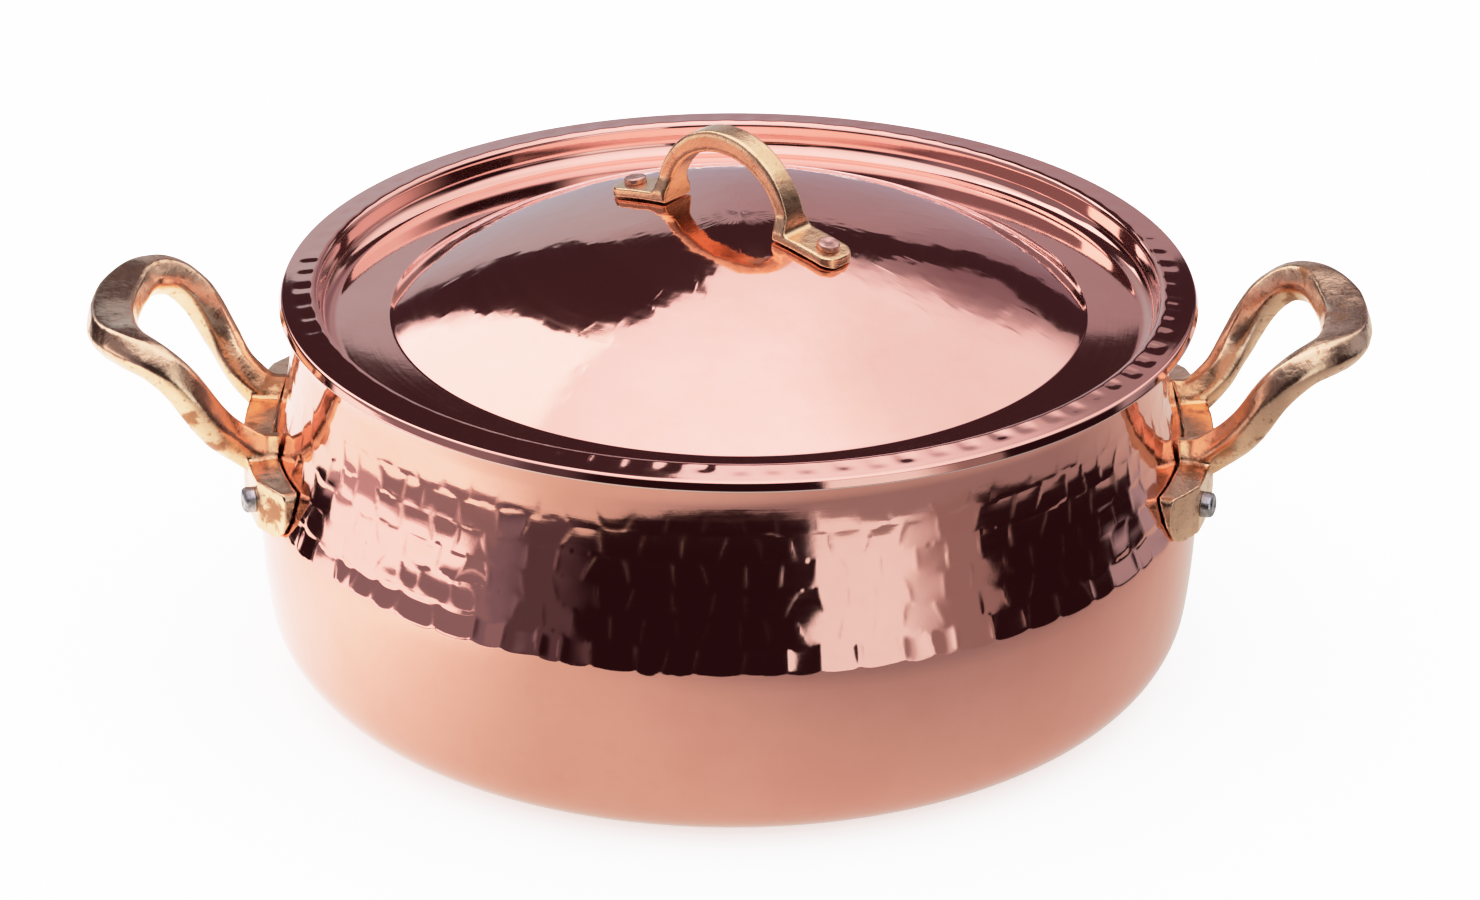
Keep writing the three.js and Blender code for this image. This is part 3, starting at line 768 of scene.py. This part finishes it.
def rivet(name, seat, axis, grip, seed, head, button, shank, dimple):
    """A rivet on an axis: a peened head on its seat, a shank, and a low button a grip below."""
    radius, height = head
    crown = CROWN_SHARE * height
    round_off = button[1] / 2
    flat = button[0] - round_off
    under = -grip - button[1]
    profile = joined(
        straight((0, under), (flat, under)),
        arc(flat, -grip - round_off, round_off, -QUARTER, QUARTER, step=round_off / 4),
        straight((flat, -grip), (shank, -grip)),
        straight((shank, -grip), (shank, 0)),
        straight((shank, 0), (radius, 0)),
        straight((radius, 0), (radius, height - crown), HEAD_SIDE_STEP),
        arc(radius - crown, height - crown, crown, 0, QUARTER, step=crown / 6),
        straight((radius - crown, height), (0, height), HEAD_TOP_STEP),
    )
    top = profile[:, 1] > height - crown
    bowl = np.maximum(0, 1 - (profile[:, 0] / (radius * DIMPLE_SHARE)) ** 2) ** 2
    profile[top, 1] -= dimple * bowl[top]
    made = turned(name, profile, RIVET_COLUMNS)
    rippled(made, RIVET_RIPPLES, seed)
    turn = Vector((0, 0, 1)).rotation_difference(axis).to_matrix().to_4x4()
    made.data.transform(Matrix.Translation(seat) @ turn)
    return made


def side_rivet(name, side, front):
    """A side handle's rivet: a high head outside the plate and a low one on the inner wall."""
    angle = -front * SIDE_RIVET_ANGLE
    turn = angle if side > 0 else math.pi - angle
    axis = Vector((math.cos(turn), math.sin(turn), 0))
    seat = axis * (PLATE_RADIUS - SEAT_GAP) + Vector((0, 0, PLATE_MIDDLE))
    inner = float(pot_radius(PLATE_MIDDLE)) - WALL
    return rivet(name, seat, axis, PLATE_RADIUS - inner, 3 * side + front, **SIDE_RIVET)


def lid_rivet(name, end, seed):
    """A lid handle's rivet: a low head on the foot and a flat one inside the dome."""
    reach = ARCH_SPAN / 2 + FOOT_LENGTH - LID_RIVET_INSET
    lean = math.asin(reach / DOME_SPHERE)
    seat_frame = seat_on_dome()
    axis = Vector((end * math.sin(lean), 0, math.cos(lean)))
    seat = seat_frame @ (axis * (DOME_SPHERE + FOOT_THICKNESS + SEAT_GAP))
    grip = FOOT_THICKNESS + LID_THICKNESS + 3 * SEAT_GAP
    return rivet(name, seat, (seat_frame.to_3x3() @ axis).normalized(), grip, seed, **LID_RIVET)


# Node helpers

def put(tree, kind, inputs=None, **settings):
    """A node in a tree, its settings set and its inputs given as values or as sockets."""
    made = tree.nodes.new(kind)
    for key, value in settings.items():
        setattr(made, key, value)
    for key, value in (inputs or {}).items():
        if isinstance(value, bpy.types.NodeSocket):
            tree.links.new(value, made.inputs[key])
        else:
            made.inputs[key].default_value = value
    return made


def maths(tree, operation, *values):
    """The result of a Math node."""
    return put(tree, "ShaderNodeMath", dict(enumerate(values)), operation=operation).outputs[0]


def ranged(tree, value, low, high, to_low=0.0, to_high=1.0):
    """A value taken smoothly from one range to another."""
    inputs = {"Value": value, "From Min": low, "From Max": high, "To Min": to_low, "To Max": to_high}
    return put(tree, "ShaderNodeMapRange", inputs, interpolation_type="SMOOTHSTEP").outputs["Result"]


def soft_edge(tree, value, middle, softness):
    """0 where a value is below the middle and 1 above it, softly."""
    low = maths(tree, "SUBTRACT", middle, softness)
    return ranged(tree, value, low, maths(tree, "ADD", middle, softness))


def mixed(tree, share, first, second):
    """Two colours mixed by a share. The Mix node takes colours in its sockets 6 and 7."""
    return put(tree, "ShaderNodeMix", {0: share, 6: first, 7: second}, data_type="RGBA").outputs[2]


def axes_of(tree, place):
    """The X, Y and Z of one of the places that a texture is laid by."""
    where = put(tree, "ShaderNodeTexCoord").outputs[place]
    return put(tree, "ShaderNodeSeparateXYZ", {"Vector": where}).outputs


def rgba(red, green, blue):
    """A colour for a socket."""
    return (red, green, blue, 1)


def new_group(name, inputs, outputs):
    """A shader node group, with its named inputs to read and its named outputs to fill."""
    tree = bpy.data.node_groups.new(name, "ShaderNodeTree")
    for way, sockets in (("INPUT", inputs), ("OUTPUT", outputs)):
        for socket in sockets:
            tree.interface.new_socket(socket, in_out=way, socket_type="NodeSocketFloat")
    return tree, tree.nodes.new("NodeGroupInput").outputs, tree.nodes.new("NodeGroupOutput").inputs


def placed_group(tree, group, **values):
    """The outputs of a node group that is placed in a material with its own values."""
    node = tree.nodes.new("ShaderNodeGroup")
    node.node_tree = group
    for key, value in values.items():
        node.inputs[key].default_value = value
    return node.outputs


# Effects that several finishes share

def patches_group():
    """Cloudy patches such as tarnish: a mask, and the bare noise as a height."""
    inputs = ["Size", "Threshold", "Softness", "Seed"]
    tree, given, out = new_group("patches", inputs, ["Mask", "Height"])
    where = put(tree, "ShaderNodeTexCoord").outputs["Object"]
    scale = maths(tree, "DIVIDE", 1.0, given["Size"])
    cloud = put(
        tree, "ShaderNodeTexNoise",
        {"Vector": where, "W": given["Seed"], "Scale": scale, "Detail": 6.0, "Roughness": 0.6},
        noise_dimensions="4D",
    ).outputs["Fac"]
    tree.links.new(soft_edge(tree, cloud, given["Threshold"], given["Softness"]), out["Mask"])
    tree.links.new(cloud, out["Height"])
    return tree


def spun_lines_group():
    """Fine lines that run round the pot's axis, as polishing on a wheel leaves them."""
    tree, given, out = new_group("spun_lines", ["Spacing", "Length", "Contrast"], ["Mask", "Height"])
    axes = axes_of(tree, "Object")
    level = put(tree, "ShaderNodeCombineXYZ", {"X": axes["X"], "Y": axes["Y"]}).outputs[0]
    from_axis = put(tree, "ShaderNodeVectorMath", {0: level}, operation="LENGTH").outputs["Value"]
    stretch = maths(tree, "DIVIDE", given["Spacing"], given["Length"])
    place = put(tree, "ShaderNodeCombineXYZ", {
        "X": maths(tree, "MULTIPLY", axes["X"], stretch),
        "Y": maths(tree, "MULTIPLY", axes["Y"], stretch),
        "Z": maths(tree, "ADD", axes["Z"], from_axis),
    }).outputs[0]
    scale = maths(tree, "DIVIDE", 1.0, given["Spacing"])
    inputs = {"Vector": place, "Scale": scale, "Detail": 3.0, "Roughness": 0.7}
    lines = put(tree, "ShaderNodeTexNoise", inputs).outputs["Fac"]
    low = maths(tree, "MULTIPLY", given["Contrast"], 0.5)
    tree.links.new(ranged(tree, lines, low, maths(tree, "SUBTRACT", 1.0, low)), out["Mask"])
    tree.links.new(lines, out["Height"])
    return tree


PATCHES = patches_group()
SPUN_LINES = spun_lines_group()


# Finishes, with bump heights in metres

COPPER_BRIGHT = rgba(0.93, 0.43, 0.335)
COPPER_DEEP = rgba(0.86, 0.37, 0.27)
COPPER_PAINTED_PALE_REFLECTION = rgba(0.97, 0.76, 0.7)
# Painted reflection: the paler colour that copper is given where it is seen in a reflection
TIN_PALE = rgba(0.78, 0.76, 0.73)
TIN_DULL = rgba(0.58, 0.56, 0.54)
BRASS_PAINTED_SHADE = rgba(0.86, 0.36, 0.13)
CAST_TONES = {"bright": rgba(0.98, 0.63, 0.4), "dark": rgba(0.38, 0.15, 0.06)}
STRAP_TONES = {"bright": rgba(1, 0.62, 0.36), "dark": rgba(0.5, 0.21, 0.08)}
STEEL_TONES = {"pale": rgba(0.55, 0.52, 0.5), "dull": rgba(0.3, 0.27, 0.26)}
RIVET_COPPER_TONES = {"pale": rgba(0.75, 0.42, 0.33), "dull": rgba(0.5, 0.27, 0.2)}


def metal(name, base_color, roughness):
    """A new metal material with its tree and its Principled node."""
    material = bpy.data.materials.new(name)
    material.use_nodes = True
    tree = material.node_tree
    shader = tree.nodes["Principled BSDF"]
    shader.inputs["Base Color"].default_value = base_color
    shader.inputs["Metallic"].default_value = 1.0
    shader.inputs["Roughness"].default_value = roughness
    return material, tree, shader


def stain(tree, shader, stains):
    """The metal's colour, mixed with a share of each stain's colour where its mask is 1."""
    color = tuple(shader.inputs["Base Color"].default_value)
    for mask, share, stained in stains:
        color = mixed(tree, maths(tree, "MULTIPLY", mask, share), color, stained)
    tree.links.new(color, shader.inputs["Base Color"])


def roughen(tree, shader, roughness, scuffs):
    """A roughness that each scuff adds its own to where its mask is 1."""
    for mask, more in scuffs:
        roughness = maths(tree, "MULTIPLY_ADD", mask, more, roughness)
    tree.links.new(roughness, shader.inputs["Roughness"])


def bump(tree, shader, heights):
    """Bump from a list of heights in metres, the first below the next."""
    normal = None
    for height, distance in heights:
        inputs = {"Height": height, "Distance": distance}
        if normal is not None:
            inputs["Normal"] = normal
        normal = put(tree, "ShaderNodeBump", inputs).outputs["Normal"]
    tree.links.new(normal, shader.inputs["Normal"])


def polished_copper(name, seed, line_depth):
    """Polished copper: bright, a little clouded by handling, with fine lines from the wheel, and duller
    along the ridges between its hammer marks. In reflections it is given a paler colour, a painted
    reflection."""
    material, tree, shader = metal(name, COPPER_BRIGHT, roughness=0.07)
    clouds = placed_group(tree, PATCHES, Size=0.035, Threshold=0.52, Softness=0.16, Seed=seed)
    lines = placed_group(tree, SPUN_LINES, Spacing=0.0012, Length=0.12, Contrast=0.5)
    grime = placed_group(tree, PATCHES, Size=0.008, Threshold=0.6, Softness=0.12, Seed=seed + 1)
    ridge = put(tree, "ShaderNodeAttribute", attribute_name="ridge").outputs["Fac"]
    # Painted reflection: copper seen by a glossy ray is mixed towards a paler colour
    mirrored = put(tree, "ShaderNodeLightPath").outputs["Is Glossy Ray"]
    stain(tree, shader, [
        (clouds["Mask"], 0.4, COPPER_DEEP),
        (grime["Mask"], 0.2, COPPER_DEEP),
        (mirrored, 0.65, COPPER_PAINTED_PALE_REFLECTION),
    ])
    roughen(tree, shader, 0.035, [(clouds["Mask"], 0.03), (lines["Mask"], 0.03), (ridge, 0.2)])
    bump(tree, shader, [(clouds["Height"], 0.00006), (lines["Height"], line_depth)])
    return material


def tin_lining():
    """Wiped tin: grey, satin, with faint wiping marks round the pot."""
    material, tree, shader = metal("tin_lining", TIN_PALE, roughness=0.3)
    wipes = placed_group(tree, SPUN_LINES, Spacing=0.006, Length=0.09, Contrast=0.4)
    clouds = placed_group(tree, PATCHES, Size=0.03, Threshold=0.5, Softness=0.2, Seed=4.0)
    stain(tree, shader, [(wipes["Mask"], clouds["Mask"], TIN_DULL)])
    clouded = ranged(tree, clouds["Height"], 0.3, 0.7, to_low=0.2, to_high=0.42)
    tree.links.new(clouded, shader.inputs["Roughness"])
    bump(tree, shader, [(wipes["Height"], 0.0001), (clouds["Height"], 0.0001)])
    return material


def brass(name, seed, skin_threshold, roughness, bright, dark):
    """Cast or rolled brass, filed bright, with dark casting skin left in patches, and a warmer, darker
    painted shade where the mesh keeps a share for it."""
    material, tree, shader = metal(name, bright, roughness)
    skin = placed_group(tree, PATCHES, Size=0.016, Threshold=skin_threshold, Softness=0.035, Seed=seed)
    pits = placed_group(tree, PATCHES, Size=0.0022, Threshold=0.62, Softness=0.05, Seed=seed + 1)
    clouds = placed_group(tree, PATCHES, Size=0.012, Threshold=0.5, Softness=0.25, Seed=seed + 2)
    filed = placed_group(tree, SPUN_LINES, Spacing=0.0005, Length=0.012, Contrast=0.5)
    # Painted shade: the share kept on the mesh mixes in the warmer, darker colour
    shelter = put(tree, "ShaderNodeAttribute", attribute_name="shelter").outputs["Fac"]
    stain(tree, shader, [
        (shelter, 0.75, BRASS_PAINTED_SHADE),
        (clouds["Mask"], 0.35, dark),
        (skin["Mask"], 0.85, dark),
        (pits["Mask"], 0.6, dark),
    ])
    roughen(tree, shader, roughness, [(skin["Mask"], 0.2), (filed["Mask"], 0.08)])
    bump(tree, shader, [
        (clouds["Height"], 0.0004),
        (pits["Height"], 0.00012),
        (filed["Height"], 0.00004),
    ])
    return material


def rivet_metal(name, seed, roughness, pale, dull):
    """Satin rivet metal with scuffs from the peening hammer."""
    material, tree, shader = metal(name, pale, roughness)
    scuffs = placed_group(tree, PATCHES, Size=0.003, Threshold=0.52, Softness=0.12, Seed=seed)
    stain(tree, shader, [(scuffs["Mask"], 1.0, dull)])
    roughen(tree, shader, roughness, [(scuffs["Mask"], 0.18)])
    bump(tree, shader, [(scuffs["Height"], 0.0003)])
    return material


HAMMERED_COPPER = polished_copper("hammered_copper", seed=1.0, line_depth=0.000006)
LID_COPPER = polished_copper("lid_copper", seed=7.0, line_depth=0.000004)
TIN_LINING = tin_lining()
CAST_BRASS = brass("cast_brass", seed=2.0, skin_threshold=0.62, roughness=0.18, **CAST_TONES)
STRAP_BRASS = brass("strap_brass", seed=12.0, skin_threshold=0.68, roughness=0.24, **STRAP_TONES)
RIVET_STEEL = rivet_metal("rivet_steel", seed=5.0, roughness=0.26, **STEEL_TONES)
RIVET_COPPER = rivet_metal("rivet_copper", seed=8.0, roughness=0.3, **RIVET_COPPER_TONES)


# The pieces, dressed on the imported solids

def dress(piece, body, slot, node, *materials):
    """Gives a piece its materials and its body, and hides the node that it stands for. The slot is not
    used.
    """
    for material in materials:
        piece.data.materials.append(material)
    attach(piece, body)
    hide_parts(node)


dress(copper_pot(), "pot", "hammered_copper", "pot_body", HAMMERED_COPPER, TIN_LINING)
dress(copper_lid(), "lid", "lid_copper", "lid", LID_COPPER, TIN_LINING)
for side_name, side, seed in (("left", -1, 13), ("right", 1, 27)):
    handle = cast_handle(f"cast_{side_name}_handle", side, seed)
    dress(handle, "pot", "cast_brass", f"{side_name}_handle", CAST_BRASS)
    for end_name, front in (("front", 1), ("back", -1)):
        made = side_rivet(f"{side_name}_{end_name}_rivet", side, front)
        dress(made, "pot", "rivet_steel", f"{side_name}_handle_{end_name}_rivet", RIVET_STEEL)
dress(strap_handle(), "lid", "strap_brass", "lid_handle", STRAP_BRASS)
for end_name, end, seed in (("left", -1, 39), ("right", 1, 41)):
    made = lid_rivet(f"lid_{end_name}_rivet", end, seed)
    dress(made, "lid", "rivet_copper", f"lid_handle_{end_name}_rivet", RIVET_COPPER)


# The stage: flat sheets that the copper mirrors

def bare_material(name):
    """A new material and its empty tree."""
    material = bpy.data.materials.new(name)
    material.use_nodes = True
    material.node_tree.nodes.clear()
    return material, material.node_tree


def flat_sheet(name, corners, material):
    """A flat sheet with one material."""
    sheet = mesh_piece(name, corners, [list(range(len(corners)))])
    sheet.data.materials.append(material)
    return sheet


# The table that the pot stands on. What the metal mirrors of it is a painted glow, brighter on its left
# as under a window
TABLE_BACK = 0.9
TABLE_SIDE = 0.45
TABLE_LEFT_CORNERS = [(-0.44, -0.1), (-0.375, -0.28), (-0.27, -0.44)]
TABLE_RIGHT_CORNERS = [(0.3, -0.44), (0.37, -0.24), (0.44, -0.12)]
TABLE_RIGHT_LIGHT = rgba(0.34, 0.32, 0.35)
TABLE_MIDDLE_LIGHT = rgba(0.82, 0.8, 0.75)
TABLE_LEFT_LIGHT = rgba(1.75, 1.66, 1.68)
TABLE_MIDDLE_REACH = (0.32, -0.14)
TABLE_LEFT_REACH = (-0.1, -0.38)
TABLE_SLANT = 0.9
TABLE_SLANT_START = -0.2
WHITE_PAPER = rgba(0.9, 0.9, 0.9)
WHITE_GLOW = 0.5


def pale_table():
    """A flat pale sheet: white to the eye with soft shadows, and a graded painted glow where the copper
    mirrors it.
    """
    corners = [(x, y, 0) for x, y in TABLE_LEFT_CORNERS + TABLE_RIGHT_CORNERS]
    corners += [(TABLE_SIDE, TABLE_BACK, 0), (-TABLE_SIDE, TABLE_BACK, 0)]
    material, tree = bare_material("pale_paper")
    axes = axes_of(tree, "Object")
    # Painted light for reflections only: a glow graded from dim on the right to bright on the left
    away = maths(tree, "SUBTRACT", TABLE_SLANT_START, axes["Y"])
    along = maths(tree, "MULTIPLY_ADD", away, TABLE_SLANT, axes["X"])
    middle = ranged(tree, along, *TABLE_MIDDLE_REACH)
    left = ranged(tree, along, *TABLE_LEFT_REACH)
    graded = mixed(tree, middle, TABLE_RIGHT_LIGHT, TABLE_MIDDLE_LIGHT)
    graded = mixed(tree, left, graded, TABLE_LEFT_LIGHT)
    mirrored = put(tree, "ShaderNodeEmission", {"Color": graded}).outputs[0]
    paper = put(tree, "ShaderNodeBsdfDiffuse", {"Color": WHITE_PAPER}).outputs[0]
    glow = put(tree, "ShaderNodeEmission", {"Strength": WHITE_GLOW}).outputs[0]
    lit = put(tree, "ShaderNodeAddShader", {0: paper, 1: glow}).outputs[0]
    seen = put(tree, "ShaderNodeLightPath").outputs["Is Camera Ray"]
    shade = put(tree, "ShaderNodeMixShader", {0: seen, 1: mirrored, 2: lit}).outputs[0]
    put(tree, "ShaderNodeOutputMaterial", {"Surface": shade})
    table = flat_sheet("pale_table", corners, material)


# A dark card behind the pot, which only the metal mirrors
CARD_BACK = 0.5
CARD_LIGHT = rgba(0.05, 0.025, 0.035)
CARD_OUTLINE = [
    (-0.39, 0.24), (-0.33, 0.2), (-0.28, 0.27), (-0.2, 0.36), (-0.15, 0.43), (-0.1, 0.44),
    (0.05, 0.39), (0.19, 0.36), (0.24, 0.27), (0.3, 0.2), (0.42, 0.22), (0.42, 0.36),
    (0.3, 0.34), (0.25, 0.42), (0.2, 0.49), (0.1, 0.58), (-0.02, 0.62), (-0.07, 0.82),
    (-0.19, 0.9), (-0.22, 1), (-0.4, 0.98),
]


def dark_card():
    """The dark shape behind the pot that the dome of the lid mirrors."""
    material, tree = bare_material("dark_cloth")
    glow = put(tree, "ShaderNodeEmission", {"Color": CARD_LIGHT}).outputs[0]
    put(tree, "ShaderNodeOutputMaterial", {"Surface": glow})
    card = flat_sheet("dark_card", [(x, CARD_BACK, z) for x, z in CARD_OUTLINE], material)
    card.visible_camera = False
    card.visible_diffuse = False
    card.visible_shadow = False


# The studio round the pot, drawn on the world by azimuth from the front and by elevation

def panel_group():
    """A soft-edged panel of the studio: 1 inside its span of azimuth and elevation."""
    inputs = ["Azimuth", "Half Width", "Elevation", "Half Height", "Softness"]
    tree, given, out = new_group("studio_panel", inputs, ["Mask"])
    axes = axes_of(tree, "Generated")
    front = maths(tree, "MULTIPLY", axes["Y"], -1.0)
    azimuth = maths(tree, "DEGREES", maths(tree, "ARCTAN2", axes["X"], front))
    elevation = maths(tree, "DEGREES", maths(tree, "ARCSINE", axes["Z"]))
    apart = maths(tree, "SUBTRACT", azimuth, given["Azimuth"])
    apart = maths(tree, "ABSOLUTE", maths(tree, "WRAP", apart, 180.0, -180.0))
    above = maths(tree, "ABSOLUTE", maths(tree, "SUBTRACT", elevation, given["Elevation"]))
    masks = []
    for gone, size in ((apart, "Half Width"), (above, "Half Height")):
        past = soft_edge(tree, gone, given[size], given["Softness"])
        masks.append(maths(tree, "SUBTRACT", 1.0, past))
    tree.links.new(maths(tree, "MULTIPLY", *masks), out["Mask"])
    return tree


# Each panel: azimuth and half width, elevation and half height and softness in degrees, and light
SOFT_SKY = rgba(2.9, 2.9, 2.9)
STUDIO_DARK = (0.02, 0.008, 0.012)
STUDIO_PANELS = {
    "upper room": ((0, 400), (90, 54), 8, (1.4, 1.44, 1.66)),
    "top softbox": ((0, 400), (90, 30), 24, (1.94, 1.84, 2.14)),
    "right side": ((128, 27), (42, 25), 15, (1.3, 1.33, 1.5)),
    "left high": ((-128.5, 22), (38, 20), 1.5, (2.2, 2.25, 2.5)),
    "left wall": ((-60, 10), (10, 26), 6, (0.22, 0.2, 0.27)),
    "left dusk": ((-45, 7), (0, 30), 5, (0.1, 0.075, 0.1)),
    "back wall": ((180, 30), (5, 29), 4, (0.42, 0.4, 0.48)),
    "back wall left": ((-167, 10), (4, 24), 7, (0.5, 0.64, 0.76)),
    "back wall right": ((158, 7), (8, 24), 6, (0.26, 0.2, 0.26)),
    "left window": ((-88, 25), (-9, 9), 1.5, (1.8, 1.68, 1.85)),
    "left window shade": ((-86, 28), (15, 15.5), 0.8, (0.28, 0.25, 0.31)),
    "left low shade": ((-68.5, 9.5), (-20, 11), 1.2, (0.3, 0.26, 0.31)),
    "left lowest shade": ((-86, 13), (-21.5, 10.5), 1.5, (0.33, 0.29, 0.34)),
    "left far shade": ((-109, 10), (-20, 8), 1, (0.6, 0.52, 0.6)),
    "left window corner": ((-62, 4), (-6, 5), 1, (0.28, 0.25, 0.3)),
    "right far fade": ((57, 9), (0, 22), 1, (0.32, 0.28, 0.3)),
    "right window": ((32, 16.5), (0, 30), 7, (1.15, 1.28, 1.42)),
    "middle shade": ((0, 20.7), (0, 40), 1.2, STUDIO_DARK),
    "right edge": ((116, 12), (2, 8), 3, (0.42, 0.45, 0.55)),
    "right edge low": ((130, 11), (-12, 8), 3, (0.42, 0.45, 0.55)),
}


def studio():
    """The world: a studio with panels of light for the metal, and an even white for the rest."""
    world = bpy.data.worlds.new("studio")
    bpy.context.scene.world = world
    world.use_nodes = True
    tree = world.node_tree
    tree.nodes.clear()
    panel = panel_group()
    light = rgba(*STUDIO_DARK)
    for (azimuth, width), (elevation, height), softness, color in STUDIO_PANELS.values():
        values = {
            "Azimuth": azimuth, "Half Width": width,
            "Elevation": elevation, "Half Height": height, "Softness": softness,
        }
        mask = placed_group(tree, panel, **values)["Mask"]
        light = mixed(tree, mask, light, rgba(*color))
    path = put(tree, "ShaderNodeLightPath").outputs
    plain = maths(tree, "ADD", path["Is Camera Ray"], path["Is Diffuse Ray"])
    light = mixed(tree, plain, light, SOFT_SKY)
    background = put(tree, "ShaderNodeBackground", {"Color": light})
    put(tree, "ShaderNodeOutputWorld", {"Surface": background.outputs[0]})


# Tone, as a camera gives it: true up to a shoulder, then ever flatter towards white

SHOULDER = 0.5
BRIGHTEST = 3.5
TONE_STEPS = 14
COMBINED_CURVE = 3


def camera_tone():
    """Rolls the highlights off so that bright copper keeps its colour and pales towards white."""
    view = bpy.context.scene.view_settings
    view.view_transform = "Standard"
    view.use_curve_mapping = True
    view.curve_mapping.white_level = (BRIGHTEST, BRIGHTEST, BRIGHTEST)
    curve = view.curve_mapping.curves[COMBINED_CURVE]
    for step in range(1, TONE_STEPS + 1):
        light = BRIGHTEST * step / TONE_STEPS
        over = max(0.0, light - SHOULDER) / (1 - SHOULDER)
        tone = min(light, SHOULDER) + (1 - SHOULDER) * (1 - math.exp(-over))
        if step < TONE_STEPS:
            curve.points.new(step / TONE_STEPS, tone)
        else:
            curve.points[-1].location = (1, tone)
    view.curve_mapping.update()


# The camera at the photograph's angle
CAMERA_PLACE = Vector((0.0036, -2.2658, 1.1268))
CAMERA_AIM = Vector((0.0036, 0, 0.0703))
CAMERA_ROLL = math.radians(0.3)
CAMERA_LENS = 188.3
CAMERA_SENSOR = 36


def photo_camera():
    """The camera that sees the pot as the photograph does."""
    data = bpy.data.cameras.new("photo_camera")
    data.lens = CAMERA_LENS
    data.sensor_width = CAMERA_SENSOR
    camera = new_piece("photo_camera", data)
    look = (CAMERA_AIM - CAMERA_PLACE).to_track_quat("-Z", "Y").to_matrix().to_4x4()
    camera.matrix_world = Matrix.Translation(CAMERA_PLACE) @ look @ Matrix.Rotation(CAMERA_ROLL, 4, "Z")
    bpy.context.scene.camera = camera


pale_table()
dark_card()
studio()
photo_camera()
camera_tone()

bpy.context.view_layer.update()
